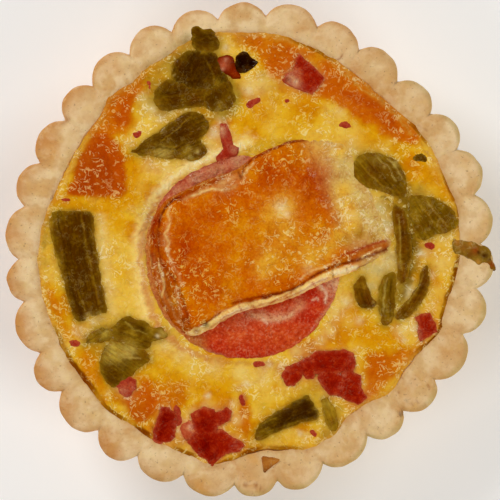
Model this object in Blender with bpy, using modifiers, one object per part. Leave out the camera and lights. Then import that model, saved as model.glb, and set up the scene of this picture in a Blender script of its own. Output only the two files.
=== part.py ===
"""A single-portion quiche in a fluted shortcrust case.

The case is a shallow pastry cup with thirty flutes. Baked custard fills it, and the custard
holds a slice of tomato with a slice of browned cheese on it, pieces of green stalk, diced ham,
an olive and a scrap of red pepper. Metres, +Z up, origin under the middle of the flat base.
"""

import math
import random

import bmesh
import bpy
from mathutils import Vector, noise

MM = 0.001

# The pastry case
RIM_RADIUS = 55.1 * MM          # to the notches between the flutes, at the rim
BASE_RADIUS = 46.6 * MM         # to the notches, where the case meets the table
RIM_HEIGHT = 25.0 * MM
INNER_RIM_RADIUS = 49.6 * MM
INNER_FLOOR_RADIUS = 43.8 * MM
FLOOR_THICKNESS = 4.0 * MM
FLUTES = 30
FLUTE_DEPTH = 4.1 * MM
FLUTE_SOFTNESS = 0.6 * MM       # how round the notch between two flutes is
BASE_FLUTE_SHARE = 0.55         # depth of a flute at the base against the rim
FIRST_NOTCH = math.radians(1.6)
WORN_FLUTE = 22                 # the one at the front, whose edge has crumbled
WORN_SHARE = 0.85
STEPS_PER_FLUTE = 8
LIP_ROUNDING = 1.6 * MM

# How the hand-pressed rim strays from a circle: waves round the rim, size, crest
OUTER_DRIFT = [
    (1, 0.6 * MM, math.radians(-166)),
    (2, 0.79 * MM, math.radians(54)),
    (3, 0.74 * MM, math.radians(-8)),
    (4, 0.71 * MM, math.radians(-2)),
    (6, 0.24 * MM, math.radians(28)),
    (7, 0.34 * MM, math.radians(20)),
]
INNER_DRIFT = [
    (1, 1.2 * MM, math.radians(152)),
    (2, 1.25 * MM, math.radians(54)),
    (3, 1.3 * MM, math.radians(-13)),
    (4, 1.55 * MM, math.radians(2)),
]

# The filling
GAP = 0.3 * MM                  # kept between touching pieces
POCKET_GAP = 0.34 * MM          # room round a piece that is sunk in the custard
POCKET_TOP = 32.0 * MM
CUSTARD_HEIGHT = 23.6 * MM
CUSTARD_CELLS = 30
CUSTARD_LUMPS = 0.35 * MM
# Where the custard rises into a browned blister or sinks: middle, reach, rise
SWELLS = [
    ((-37.0, 20.0), 8.5, 0.9),
    ((4.0, 47.0), 8.0, 0.5),
    ((24.0, 37.0), 8.5, 0.9),
    ((33.0, 29.5), 7.0, 0.7),
    ((-26.0, -35.5), 7.0, 0.8),
    ((32.5, -27.0), 8.0, 0.6),
    ((-31.0, -5.0), 9.0, -0.7),
    ((46.0, -2.0), 5.0, -0.4),
    ((24.0, -19.5), 7.0, -0.5),
    ((-20.0, 18.0), 6.0, -0.5),
    ((-9.5, -32.5), 7.0, -0.4),
]

# The tomato slice
TOMATO_CENTRE = Vector((-1.8, -1.6)) * MM
TOMATO_RADIUS = 24.3 * MM
TOMATO_OVAL = 1.2 * MM
TOMATO_LONG_AXIS = math.radians(97)
TOMATO_TOP = 24.9 * MM
TOMATO_THICKNESS = 4.6 * MM
TOMATO_BULGE = 0.8 * MM
TOMATO_STEPS = 48


# The cheese slice, its corners anticlockwise from the one nearest the lower left
CHEESE_CORNERS = [(-14.0, -18.6), (33.0, 1.4), (20.0, 27.2), (-20.6, 10.4)]
CHEESE_CELLS = (12, 8)
CHEESE_BULGE = 0.02
CHEESE_TOP = 27.6 * MM          # over the left half
CHEESE_MELT = 2.9 * MM          # how far the right end has run down
CHEESE_UNDERSIDE = 22.4 * MM
CHEESE_SPREAD = 7.0 * MM        # how far the soft left side has run out at its foot

rng = random.Random(12)


def srgb(red, green, blue):
    """A colour as the eye sees it, 0 to 255, in the linear values that a shader takes."""
    return tuple((value / 255) ** 2.2 for value in (red, green, blue)) + (1.0,)


def new_collection(name):
    collection = bpy.data.collections.new(name)
    bpy.context.scene.collection.children.link(collection)
    return collection


def move_to(obj, collection):
    for old in list(obj.users_collection):
        old.objects.unlink(obj)
    collection.objects.link(obj)


def finish(obj, colour, roughness, smooth_angle=50):
    """Gives a piece its material and its shading."""
    material = bpy.data.materials.new(obj.name)
    material.use_nodes = True
    shader = material.node_tree.nodes["Principled BSDF"]
    shader.inputs["Base Color"].default_value = srgb(*colour)
    shader.inputs["Roughness"].default_value = roughness
    shader.inputs["Metallic"].default_value = 0.0
    material.diffuse_color = srgb(*colour)
    obj.data.materials.clear()
    obj.data.materials.append(material)
    obj.data.shade_smooth()
    obj.data.set_sharp_from_angle(angle=math.radians(smooth_angle))


def apply_modifiers(obj):
    """Puts the evaluated mesh in place of the modifiers."""
    depsgraph = bpy.context.evaluated_depsgraph_get()
    mesh = bpy.data.meshes.new_from_object(obj.evaluated_get(depsgraph))
    obj.modifiers.clear()
    obj.data = mesh


def combine(obj, collection, operation, solver="EXACT"):
    """A Boolean of a piece with all of a collection."""
    modifier = obj.modifiers.new(operation.title(), "BOOLEAN")
    modifier.operation = operation
    modifier.operand_type = "COLLECTION"
    modifier.collection = collection
    modifier.solver = solver


def remove_all(collection):
    for obj in list(collection.objects):
        bpy.data.objects.remove(obj, do_unlink=True)
    bpy.data.collections.remove(collection)


def turned(name, profile, steps):
    """A profile in (radius, height), from the top of the axis down to its foot, turned round Z."""
    mesh = bpy.data.meshes.new(name)
    edges = [(index, index + 1) for index in range(len(profile) - 1)]
    mesh.from_pydata([(radius, 0.0, height) for radius, height in profile], edges, [])
    obj = bpy.data.objects.new(name, mesh)
    bpy.context.scene.collection.objects.link(obj)
    screw = obj.modifiers.new("Screw", "SCREW")
    screw.steps = steps
    screw.render_steps = steps
    screw.use_merge_vertices = True
    screw.merge_threshold = 0.00005
    bpy.context.view_layer.update()
    apply_modifiers(obj)
    return obj


def drift(waves, angle):
    return sum(size * math.cos(count * (angle - crest)) for count, size, crest in waves)


def lumps(x, y, size, seed=0.0):
    """Gentle unevenness between -1 and 1, with humps about `size` across."""
    return noise.noise(Vector((x / size, y / size, seed)))


def flute_rise(share):
    """How far a flute stands out, at a share from 0 to 1 of the way from notch to notch."""
    half_width = math.pi * RIM_RADIUS / FLUTES
    arc_radius = (half_width ** 2 + FLUTE_DEPTH ** 2) / (2 * FLUTE_DEPTH)
    across = (2 * share - 1) * half_width
    rise = math.sqrt(max(arc_radius ** 2 - across ** 2, 0.0)) - (arc_radius - FLUTE_DEPTH)
    return math.hypot(rise, FLUTE_SOFTNESS)


def inner_wall(angle, height):
    """Radius of the inside of the case."""
    share = (height - FLOOR_THICKNESS) / (RIM_HEIGHT - FLOOR_THICKNESS)
    straight = INNER_FLOOR_RADIUS + (INNER_RIM_RADIUS - INNER_FLOOR_RADIUS) * share
    return straight + drift(INNER_DRIFT, angle) * share


def custard_top(x, y):
    """Height of the custard's surface; x and y in metres."""
    height = CUSTARD_HEIGHT + CUSTARD_LUMPS * lumps(x, y, 9 * MM)
    height += 0.4 * CUSTARD_LUMPS * lumps(x, y, 3.5 * MM, 4.0)
    for (middle_x, middle_y), reach, rise in SWELLS:
        distance = math.hypot(x - middle_x * MM, y - middle_y * MM) / (reach * MM)
        height += rise * MM * math.exp(-distance ** 2)
    return height


def build_case():
    """The pastry cup, turned from its section and then pressed out into flutes."""
    wall_top = RIM_HEIGHT - LIP_ROUNDING
    profile = [
        (0.0, FLOOR_THICKNESS),
        (INNER_FLOOR_RADIUS, FLOOR_THICKNESS),
        (INNER_RIM_RADIUS - 0.3 * MM, RIM_HEIGHT - 1.0 * MM),
        (INNER_RIM_RADIUS + 0.8 * MM, RIM_HEIGHT - 0.1 * MM),
        (RIM_RADIUS - 2.0 * MM, RIM_HEIGHT + 0.1 * MM),
        (RIM_RADIUS - 0.5 * MM, RIM_HEIGHT - 0.45 * MM),
        (RIM_RADIUS, wall_top),
        (BASE_RADIUS + 0.4 * MM, 1.4 * MM),
        (BASE_RADIUS - 1.2 * MM, 0.0),
        (0.0, 0.0),
    ]
    case = turned("crust", profile, FLUTES * STEPS_PER_FLUTE)
    notch_shift = [rng.uniform(-0.35, 0.35) for _ in range(FLUTES)]
    depth_share = [rng.uniform(0.9, 1.04) for _ in range(FLUTES)]
    depth_share[WORN_FLUTE] = WORN_SHARE
    height_shift = [rng.uniform(-0.35, 0.3) * MM for _ in range(FLUTES)]
    step_angle = 2 * math.pi / FLUTES
    for vertex in case.data.vertices:
        x, y, z = vertex.co
        radius = math.hypot(x, y)
        if radius < 1 * MM:
            continue
        place = (math.atan2(y, x) / step_angle) % FLUTES
        index = int(place + 0.001) % FLUTES
        share = min(max(place - int(place + 0.001), 0.0), 1.0)
        after = (index + 1) % FLUTES
        turn = notch_shift[index] * (1 - share) + notch_shift[after] * share
        angle = FIRST_NOTCH + (index + share + 0.2 * turn) * step_angle
        level = min(z / RIM_HEIGHT, 1.0)
        outer = BASE_RADIUS + (RIM_RADIUS - BASE_RADIUS) * level
        inner = INNER_FLOOR_RADIUS + (INNER_RIM_RADIUS - INNER_FLOOR_RADIUS) * level
        outwards = min(max((radius - inner) / (outer - inner), 0.0), 1.0)
        if z < 1 * MM:
            outwards = 1.0
        depth = BASE_FLUTE_SHARE + (1 - BASE_FLUTE_SHARE) * level
        pressed = flute_rise(share) * depth * depth_share[index] * outwards ** 2
        wall_share = (z - FLOOR_THICKNESS) / (RIM_HEIGHT - FLOOR_THICKNESS)
        if outwards < 0.25:
            wander = drift(INNER_DRIFT, angle) * wall_share
        else:
            wander = drift(OUTER_DRIFT, angle) * level * outwards
            wander += drift(INNER_DRIFT, angle) * level * (1 - outwards)
        rough = 0.18 * MM * lumps(x, y, 4 * MM, z / (5 * MM)) * outwards
        radius += pressed + wander + rough
        if z > wall_top - 1 * MM:
            sway = height_shift[index] * math.sin(math.pi * share) * outwards
            z += sway + 0.2 * MM * lumps(x, y, 6 * MM, 9.0) * outwards
        vertex.co = (radius * math.cos(angle), radius * math.sin(angle), z)
    return case


def place_in(corners, bulge, u, v):
    """A point of the four-cornered patch whose sides bow out by `bulge` of their length."""
    first, second, third, fourth = (Vector(corner) for corner in corners)

    def side(start, end, share):
        along = end - start
        outwards = Vector((along.y, -along.x))
        return start + along * share + outwards * bulge * 4 * share * (1 - share)

    south = side(first, second, u)
    east = side(second, third, v)
    north = side(third, fourth, 1 - u)
    west = side(fourth, first, 1 - v)
    blend = south * (1 - v) + north * v + west * (1 - u) + east * u
    flat = (first * (1 - u) + second * u) * (1 - v) + (fourth * (1 - u) + third * u) * v
    return blend - flat


def perimeter(cells):
    """The border points of a grid as (u, v), anticlockwise."""
    across, along = cells
    points = [(step / across, 0.0) for step in range(across)]
    points += [(1.0, step / along) for step in range(along)]
    points += [(1 - step / across, 1.0) for step in range(across)]
    points += [(0.0, 1 - step / along) for step in range(along)]
    return points


def grown(outline, distance):
    """The outline, in mm, moved outwards."""
    result = []
    for index, point in enumerate(outline):
        along = (outline[(index + 1) % len(outline)] - outline[index - 1]).normalized()
        result.append(point + Vector((along.y, -along.x)) * distance)
    return result


def extrude_border(bm):
    """Extrudes the open border of a sheet and gives the new vertices."""
    border = [edge for edge in bm.edges if edge.is_boundary]
    made = bmesh.ops.extrude_edge_only(bm, edges=border)
    return [item for item in made["geom"] if isinstance(item, bmesh.types.BMVert)]


def slab(name, corners, cells, bulge, top_rule, low, skirt):
    """A flat piece of food: a grid laid in its outline, with sides that go down in steps.

    top_rule(u, v, x, y) gives the height of the top in mm, and low the height of the
    underside. Each step of the skirt is a share of the way down and a rule that says how
    far outwards the side has moved there.
    """
    bpy.ops.mesh.primitive_grid_add(x_subdivisions=cells[0], y_subdivisions=cells[1], size=2)
    obj = bpy.context.object
    obj.name = name
    centre = sum((Vector(corner) for corner in corners), Vector((0, 0))) / 4
    bm = bmesh.new()
    bm.from_mesh(obj.data)
    for vertex in bm.verts:
        u, v = (vertex.co.x + 1) / 2, (vertex.co.y + 1) / 2
        spot = place_in(corners, bulge, u, v)
        vertex.co = (spot.x - centre.x, spot.y - centre.y, top_rule(u, v, spot.x, spot.y))
    done = 0.0
    for share, outwards in skirt:
        for vertex in extrude_border(bm):
            flat = vertex.co.to_2d()
            away = flat.normalized()
            flat += away * outwards(away)
            drop = (share - done) / (1 - done)
            vertex.co = (flat.x, flat.y, vertex.co.z + (low - vertex.co.z) * drop)
        done = share
    bmesh.ops.holes_fill(bm, edges=[edge for edge in bm.edges if edge.is_boundary], sides=0)
    bmesh.ops.recalc_face_normals(bm, faces=bm.faces[:])
    bmesh.ops.scale(bm, vec=(MM, MM, MM), verts=bm.verts[:])
    bm.to_mesh(obj.data)
    bm.free()
    obj.location = (centre.x * MM, centre.y * MM, 0.0)
    move_to(obj, quiche)
    obj.parent = stand
    return obj


def upright_cutter(name, outline, low, distance, high, collection):
    """A prism that makes room round a piece; its outline, heights and distance are in mm."""
    ring = grown(outline, distance)
    bpy.ops.mesh.primitive_circle_add(vertices=len(ring), fill_type="NGON")
    obj = bpy.context.object
    obj.name = name
    for vertex, point in zip(obj.data.vertices, ring):
        vertex.co = (point.x * MM, point.y * MM, low * MM)
    bm = bmesh.new()
    bm.from_mesh(obj.data)
    made = bmesh.ops.extrude_face_region(bm, geom=bm.faces[:])
    top = [item for item in made["geom"] if isinstance(item, bmesh.types.BMVert)]
    bmesh.ops.translate(bm, vec=(0, 0, (high - low) * MM), verts=top)
    bmesh.ops.recalc_face_normals(bm, faces=bm.faces[:])
    bm.to_mesh(obj.data)
    bm.free()
    move_to(obj, collection)
    obj.hide_render = True
    obj.display_type = "WIRE"
    return obj


def pocket(name, outline, low):
    """Room in the custard for a piece that is sunk in it."""
    return upright_cutter("room_for_" + name, outline, low - POCKET_GAP / MM,
                          POCKET_GAP / MM, POCKET_TOP / MM, pockets)


def sunk_piece(name, corners, cells, colour, proud, thickness, bulge=0.08, rounding=0.7,
               dome=0.35, ridges=0.0, tilt=0.0, roughness=0.4):
    """A topping baked into the custard, with its pocket."""
    centre = sum((Vector(corner) for corner in corners), Vector((0, 0))) / 4
    level = custard_top(centre.x * MM, centre.y * MM) / MM + proud
    low = level - thickness

    def top_rule(u, v, x, y):
        edge = max(abs(2 * u - 1), abs(2 * v - 1))
        height = level + dome * (1 - edge ** 2) + tilt * (v - 0.5)
        height += ridges * math.cos(6 * math.pi * (u - 0.5)) * (1 - edge ** 4)
        height += 0.25 * lumps(x, y, 2.5, 2.0)
        if edge > 0.99:
            height -= rounding
        return height

    skirt = [(0.5, lambda away: 0.0), (1.0, lambda away: -0.3)]
    piece = slab(name, corners, cells, bulge, top_rule, low, skirt)
    finish(piece, colour, roughness)
    pocket(name, [place_in(corners, bulge, u, v) for u, v in perimeter(cells)], low)
    return piece


def block(centre, length, width, turn, skew=0.12):
    """Corners of a roughly cut block, in mm, its length along the direction `turn`."""
    along = Vector((math.cos(math.radians(turn)), math.sin(math.radians(turn))))
    across = Vector((-along.y, along.x))
    corners = []
    for side, end in ((-1, -1), (-1, 1), (1, 1), (1, -1)):
        reach = 0.5 * length * (1 - rng.uniform(0, skew))
        spread = 0.5 * width * (1 - rng.uniform(0, skew))
        corners.append(Vector(centre) + along * end * reach + across * side * spread)
    return corners


def tomato_outline():
    """The outline of the slice, in mm."""
    points = []
    for step in range(TOMATO_STEPS):
        angle = 2 * math.pi * step / TOMATO_STEPS
        radius = TOMATO_RADIUS + TOMATO_OVAL * math.cos(2 * (angle - TOMATO_LONG_AXIS))
        points.append((TOMATO_CENTRE + Vector((math.cos(angle), math.sin(angle))) * radius) / MM)
    return points


def build_tomato():
    """A thick slice whose skin side bulges."""
    low = TOMATO_TOP - TOMATO_THICKNESS
    girth = TOMATO_RADIUS
    profile = [
        (0.0, TOMATO_TOP - 0.3 * MM),
        (0.5 * girth, TOMATO_TOP - 0.1 * MM),
        (girth - 1.6 * MM, TOMATO_TOP),
        (girth - TOMATO_BULGE, TOMATO_TOP - 0.5 * MM),
        (girth, TOMATO_TOP - 0.5 * TOMATO_THICKNESS),
        (girth - TOMATO_BULGE, low),
        (0.0, low),
    ]
    tomato = turned("tomato_slice", profile, TOMATO_STEPS)
    for vertex in tomato.data.vertices:
        x, y, z = vertex.co
        radius = math.hypot(x, y)
        if radius > 1 * MM:
            angle = math.atan2(y, x)
            oval = TOMATO_OVAL * math.cos(2 * (angle - TOMATO_LONG_AXIS)) * radius / girth
            x += oval * math.cos(angle)
            y += oval * math.sin(angle)
        if z > TOMATO_TOP - 1 * MM:
            z += 0.15 * MM * lumps(x, y, 6 * MM, 1.0)
        vertex.co = (x, y, z)
    tomato.location = (TOMATO_CENTRE.x, TOMATO_CENTRE.y, 0.0)
    move_to(tomato, quiche)
    tomato.parent = stand
    finish(tomato, (196, 58, 34), 0.3)
    pocket("tomato_slice", tomato_outline(), low / MM)


def build_cheese():
    """The slice of soft cheese, thick on the left, where its side has slumped outwards."""
    top = CHEESE_TOP / MM
    low = CHEESE_UNDERSIDE / MM

    def top_rule(u, v, x, y):
        edge = max(abs(2 * u - 1), abs(2 * v - 1))
        height = top - CHEESE_MELT / MM * max(u - 0.35, 0) / 0.65
        height += 0.35 * lumps(x, y, 6.0, 3.0) + 0.2 * lumps(x, y, 2.5, 5.0)
        if edge > 0.99:
            height -= 0.6
        return height

    def slump(share):
        def outwards(away):
            left = max(-away.x * 0.92 - away.y * 0.25, 0.0)
            return CHEESE_SPREAD / MM * share * left ** 1.5 + 0.2
        return outwards

    skirt = [(0.17, slump(0.5)), (0.38, slump(0.5)), (1.0, slump(-0.06))]
    cheese = slab("cheese_slice", CHEESE_CORNERS, CHEESE_CELLS, CHEESE_BULGE, top_rule, low, skirt)
    finish(cheese, (204, 120, 32), 0.38)
    tomato_room = upright_cutter("room_for_tomato_under_cheese", tomato_outline(), low - 5,
                                 POCKET_GAP / MM, (TOMATO_TOP + 0.2 * MM + GAP) / MM, cutters)
    cut = cheese.modifiers.new("Rests on the tomato", "BOOLEAN")
    cut.operation = "DIFFERENCE"
    cut.object = tomato_room
    cut.solver = "EXACT"
    centre = sum((Vector(corner) for corner in CHEESE_CORNERS), Vector((0, 0))) / 4
    outline = []
    for u, v in perimeter(CHEESE_CELLS):
        spot = place_in(CHEESE_CORNERS, CHEESE_BULGE, u, v) - centre
        away = spot.normalized()
        outline.append(centre + spot + away * 2 * slump(0.5)(away))
    pocket("cheese_slice", outline, low)


def build_custard():
    """The baked custard: a grid bent to a disc, closed below, with crumbs of ham fused on."""
    bpy.ops.mesh.primitive_grid_add(x_subdivisions=CUSTARD_CELLS, y_subdivisions=CUSTARD_CELLS,
                                    size=2)
    custard = bpy.context.object
    custard.name = "custard"
    bm = bmesh.new()
    bm.from_mesh(custard.data)
    for vertex in bm.verts:
        x, y, _ = vertex.co
        disc = Vector((x * math.sqrt(1 - y * y / 2), y * math.sqrt(1 - x * x / 2)))
        angle = math.atan2(disc.y, disc.x)
        edge = inner_wall(angle, CUSTARD_HEIGHT) - GAP
        flat = disc * edge
        height = custard_top(flat.x, flat.y)
        if disc.length > 0.999:
            height = min(height, CUSTARD_HEIGHT)
            flat = disc * (inner_wall(angle, height) - GAP)
        vertex.co = (flat.x, flat.y, height)
    low = FLOOR_THICKNESS + GAP
    for vertex in extrude_border(bm):
        angle = math.atan2(vertex.co.y, vertex.co.x)
        radius = inner_wall(angle, low) - GAP
        vertex.co = (radius * math.cos(angle), radius * math.sin(angle), low)
    bmesh.ops.holes_fill(bm, edges=[edge for edge in bm.edges if edge.is_boundary], sides=0)
    bmesh.ops.recalc_face_normals(bm, faces=bm.faces[:])
    bm.to_mesh(custard.data)
    bm.free()
    move_to(custard, quiche)
    custard.parent = stand
    return custard


def build_crumb(index, centre, length, width, turn):
    """A crumb of ham or stalk that is fused to the custard."""
    level = custard_top(centre[0] * MM, centre[1] * MM) / MM

    def top_rule(u, v, x, y):
        inside = max(abs(2 * u - 1), abs(2 * v - 1)) < 0.5
        return level + (0.7 if inside else 0.35)

    crumb = slab(f"crumb_{index}", block(centre, length, width, turn), (2, 2), 0.1, top_rule,
                 level - 1.5, [(1.0, lambda away: 0.1)])
    move_to(crumb, crumbs)


def build_crust_flake(name, corners, rise):
    """A flake of pastry that has lifted from the top of the rim."""
    rim = RIM_HEIGHT / MM

    def top_rule(u, v, x, y):
        return rim + rise * (0.4 + 0.6 * v)

    flake = slab(name, corners, (3, 2), 0.04, top_rule, rim - 2.0, [(1.0, lambda away: 0.0)])
    move_to(flake, flakes)


def build_rim_flake(name, corners, colour, low, thickness):
    """A thin baked scrap that lies on the rim."""

    def top_rule(u, v, x, y):
        edge = max(abs(2 * u - 1), abs(2 * v - 1))
        return low + thickness * (1.0 - 0.5 * edge ** 2) + 0.15 * lumps(x, y, 2.0, 6.0)

    flake = slab(name, corners, (5, 3), 0.08, top_rule, low, [(1.0, lambda away: 0.05)])
    finish(flake, colour, 0.45)
    return flake


for leftover in list(bpy.data.objects):
    bpy.data.objects.remove(leftover, do_unlink=True)

quiche = new_collection("quiche")
pockets = new_collection("pockets")
cutters = new_collection("cutters")
crumbs = new_collection("crumbs")
flakes = new_collection("flakes")
stand = bpy.data.objects.new("table_point", None)
quiche.objects.link(stand)

STALK_GREEN = (92, 74, 22)
DARK_GREEN = (66, 50, 14)
PALE_GREEN = (128, 108, 34)
HAM_RED = (150, 26, 22)
PALE_HAM = (176, 96, 74)

# Stalks: corners in mm anticlockwise, colour, thickness and how far they bow
STALKS = {
    "stalk_long_left": ([(-43.1, -17.4), (-34.8, -15.2), (-38.5, 9.2), (-47.4, 9.0)],
                        DARK_GREEN, 4.2, 0.03),
    "stalk_wedge": ([(-29.2, 23.6), (-11.4, 22.9), (-10.2, 30.6), (-16.9, 33.0)],
                    STALK_GREEN, 4.0, 0.03),
    "stalk_top_small": ([(-13.4, 48.3), (-8.8, 47.5), (-7.6, 49.0), (-11.4, 50.1)],
                        STALK_GREEN, 1.8, 0.06),
    "stalk_top_dark": ([(-17.4, 40.6), (-7.6, 40.2), (-9.0, 46.6), (-15.4, 46.8)],
                       DARK_GREEN, 3.8, 0.08),
    "stalk_top_middle": ([(-22.4, 34.6), (-12.0, 34.6), (-11.8, 38.9), (-21.6, 38.9)],
                         DARK_GREEN, 3.8, 0.06),
    "stalk_top_right": ([(-10.9, 33.8), (-5.0, 35.0), (-5.2, 38.9), (-10.7, 38.9)],
                        DARK_GREEN, 3.6, 0.05),
    "stalk_flake_left": ([(-33.0, -21.4), (-23.8, -23.2), (-21.2, -19.8), (-30.4, -16.6)],
                         STALK_GREEN, 3.0, 0.08),
    "stalk_stub_left": ([(-40.0, -22.9), (-34.4, -23.8), (-34.8, -19.6), (-38.6, -20.0)],
                        PALE_GREEN, 3.0, 0.06),
    "stalk_block_left": ([(-35.4, -28.4), (-32.4, -31.8), (-24.8, -26.2), (-32.8, -25.0)],
                         PALE_GREEN, 3.6, 0.06),
    "stalk_oval_right": ([(26.4, 17.0), (36.6, 13.4), (35.4, 20.6), (27.6, 23.0)],
                         PALE_GREEN, 4.0, 0.12),
    "stalk_outer_right": ([(39.6, 5.6), (45.2, 4.4), (48.0, 9.4), (40.2, 13.2)],
                          STALK_GREEN, 4.0, 0.04),
    "stalk_strip_right": ([(36.0, -5.2), (38.8, -5.2), (38.6, 9.8), (36.0, 10.4)],
                          DARK_GREEN, 3.6, 0.01),
    "stalk_strip_low": ([(32.2, -18.0), (34.6, -18.2), (34.9, -6.6), (31.8, -7.0)],
                        STALK_GREEN, 3.4, 0.01),
    "stalk_stub_low": ([(26.0, -12.2), (29.9, -13.0), (28.2, -7.4), (26.3, -6.9)],
                       DARK_GREEN, 3.0, 0.06),
    "stalk_bottom": ([(1.6, -45.6), (16.6, -40.6), (14.4, -35.4), (2.4, -40.4)],
                     DARK_GREEN, 4.0, 0.03),
    "stalk_bottom_pale": ([(17.8, -41.0), (20.0, -41.6), (20.6, -37.6), (18.2, -36.2)],
                          PALE_GREEN, 3.0, 0.03),
}

# The curved stalk on the right is two arcs about one middle
CURVED_STALK = [(35.6, -13.6), (37.6, -16.6), (43.2, -6.4), (41.0, -5.0)]

# Diced ham: middle and size in mm, how it is turned, colour
HAM = [
    ((13.2, 41.9), 7.2, 7.0, -40, HAM_RED),
    ((40.8, -17.7), 4.8, 4.4, 156, HAM_RED),
    ((9.5, -29.5), 3.8, 3.4, 60, HAM_RED),
    ((13.8, -27.3), 3.0, 2.8, 10, HAM_RED),
    ((21.0, -27.0), 9.2, 3.6, 4, HAM_RED),
    ((18.9, -33.0), 4.6, 4.4, 80, HAM_RED),
    ((25.0, -33.0), 5.4, 4.8, 100, HAM_RED),
    ((-29.4, -33.6), 3.8, 3.0, 50, PALE_HAM),
    ((-20.4, -40.2), 7.2, 4.4, 75, HAM_RED),
    ((-15.0, -42.4), 3.6, 3.6, 0, PALE_HAM),
    ((-9.8, -39.9), 4.4, 3.0, 0, HAM_RED),
    ((-4.8, -39.0), 3.6, 2.8, 40, HAM_RED),
    ((-9.8, -45.2), 5.2, 4.8, 80, HAM_RED),
    ((-5.6, 28.0), 5.0, 2.0, 100, PALE_HAM),
]

# Crumbs of ham and stalk too small to be pieces of their own: middle, length, width, turn
CRUMBS = [
    ((0.7, 36.0), 3.2, 2.0, 30),
    ((9.0, 36.2), 1.4, 1.2, 0),
    ((22.7, 30.1), 3.2, 2.0, 0),
    ((-24.6, 40.0), 2.8, 1.1, 100),
    ((-27.3, 27.8), 2.0, 1.6, 20),
    ((-44.6, 12.0), 2.4, 1.1, 5),
    ((43.4, 0.8), 3.1, 2.0, 0),
    ((-42.9, -21.8), 2.8, 1.8, 0),
    ((-17.6, -37.6), 2.6, 1.8, 60),
    ((-3.8, -46.0), 2.6, 2.4, 40),
    ((-1.8, -36.2), 2.8, 1.6, 80),
    ((14.4, -43.0), 2.2, 1.6, -20),
    ((40.2, 21.6), 3.4, 1.8, -35),
]

# Flakes of pastry on the rim, corners in mm; the side named last in each is the one lifted
LIFTED_FLAKE = [(3.6, -53.8), (7.0, -50.6), (5.4, -49.9), (2.9, -50.2)]
BROKEN_FLAKE = [(-1.8, -58.4), (2.6, -58.4), (3.0, -56.6), (-2.0, -56.4)]

crust = build_case()
build_crust_flake("lifted_flake", LIFTED_FLAKE, 0.7)
build_crust_flake("broken_flake", BROKEN_FLAKE, 0.45)
combine(crust, flakes, "UNION")
bpy.context.view_layer.update()
apply_modifiers(crust)
remove_all(flakes)
move_to(crust, quiche)
crust.parent = stand
finish(crust, (214, 178, 130), 0.75)

custard = build_custard()
for index, (centre, length, width, turn) in enumerate(CRUMBS):
    build_crumb(index, centre, length, width, turn)
combine(custard, crumbs, "UNION")
bpy.context.view_layer.update()
apply_modifiers(custard)
remove_all(crumbs)
finish(custard, (222, 160, 40), 0.35)

build_tomato()
build_cheese()
for name, (corners, colour, thickness, bulge) in STALKS.items():
    sunk_piece(name, corners, (4, 3), colour, 0.5, thickness, bulge, ridges=0.12)
sunk_piece("stalk_curved", CURVED_STALK, (3, 6), DARK_GREEN, 0.5, 3.4, 0.0)
for index, (centre, length, width, turn, colour) in enumerate(HAM, start=1):
    sunk_piece(f"ham_{index:02d}", block(centre, length, width, turn), (3, 3), colour, 0.4, 3.2)
sunk_piece("olive", block((-1.2, 45.0), 5.4, 4.2, -8), (4, 3), (38, 24, 16), 0.6, 3.2,
           bulge=0.14, dome=0.6)
sunk_piece("red_pepper", [(-6.8, 42.6), (-4.0, 41.8), (-4.9, 46.4), (-7.6, 46.2)], (3, 3),
           (176, 66, 34), 0.4, 2.8, bulge=0.03)
build_rim_flake("baked_on_scrap", [(50.6, -1.2), (57.6, -2.8), (56.8, -0.2), (50.8, 1.6)],
                (172, 96, 34), (RIM_HEIGHT + 0.4 * MM) / MM, 0.7)
combine(custard, pockets, "DIFFERENCE")
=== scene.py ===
import math
import random

import bpy
import numpy as np
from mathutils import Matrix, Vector, noise


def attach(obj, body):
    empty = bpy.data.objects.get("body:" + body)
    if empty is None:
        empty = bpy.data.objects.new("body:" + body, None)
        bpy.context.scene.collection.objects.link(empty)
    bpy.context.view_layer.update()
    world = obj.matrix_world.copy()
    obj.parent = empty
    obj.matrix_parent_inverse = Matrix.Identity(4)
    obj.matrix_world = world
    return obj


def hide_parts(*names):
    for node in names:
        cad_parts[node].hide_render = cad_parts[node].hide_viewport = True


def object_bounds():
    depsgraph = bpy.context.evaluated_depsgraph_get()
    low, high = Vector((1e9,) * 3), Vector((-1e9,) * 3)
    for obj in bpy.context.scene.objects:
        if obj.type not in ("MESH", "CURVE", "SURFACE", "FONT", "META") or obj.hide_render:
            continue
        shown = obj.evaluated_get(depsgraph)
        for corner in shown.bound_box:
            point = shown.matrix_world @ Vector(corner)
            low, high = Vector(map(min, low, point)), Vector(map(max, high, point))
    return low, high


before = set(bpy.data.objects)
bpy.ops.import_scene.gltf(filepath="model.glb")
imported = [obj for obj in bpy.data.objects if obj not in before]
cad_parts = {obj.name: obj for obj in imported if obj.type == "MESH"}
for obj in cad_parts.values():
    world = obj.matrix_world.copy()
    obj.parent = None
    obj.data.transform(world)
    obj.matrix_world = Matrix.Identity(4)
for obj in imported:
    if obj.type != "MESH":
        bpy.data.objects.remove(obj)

cad_low, cad_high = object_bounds()

# The table and the light
# A pale table in the soft light of four diffusers that stand low round it, so that the wet
# filling shows small glints and no veil. The camera hangs straight over the middle.
MM = 0.001
FRAME_WIDTH = 120.4 * MM
RIM_HEIGHT = 25.0 * MM
CAMERA_HEIGHT = 0.62
SENSOR = 36.0
NEAREST_SEEN = 0.01
TABLE_SIZE = 1.6
TABLE_TONE = (0.98, 0.98, 0.98, 1.0)
ROOM_TONE = (1.0, 0.97, 0.93, 1.0)
ROOM_LIGHT = 0.055
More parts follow.
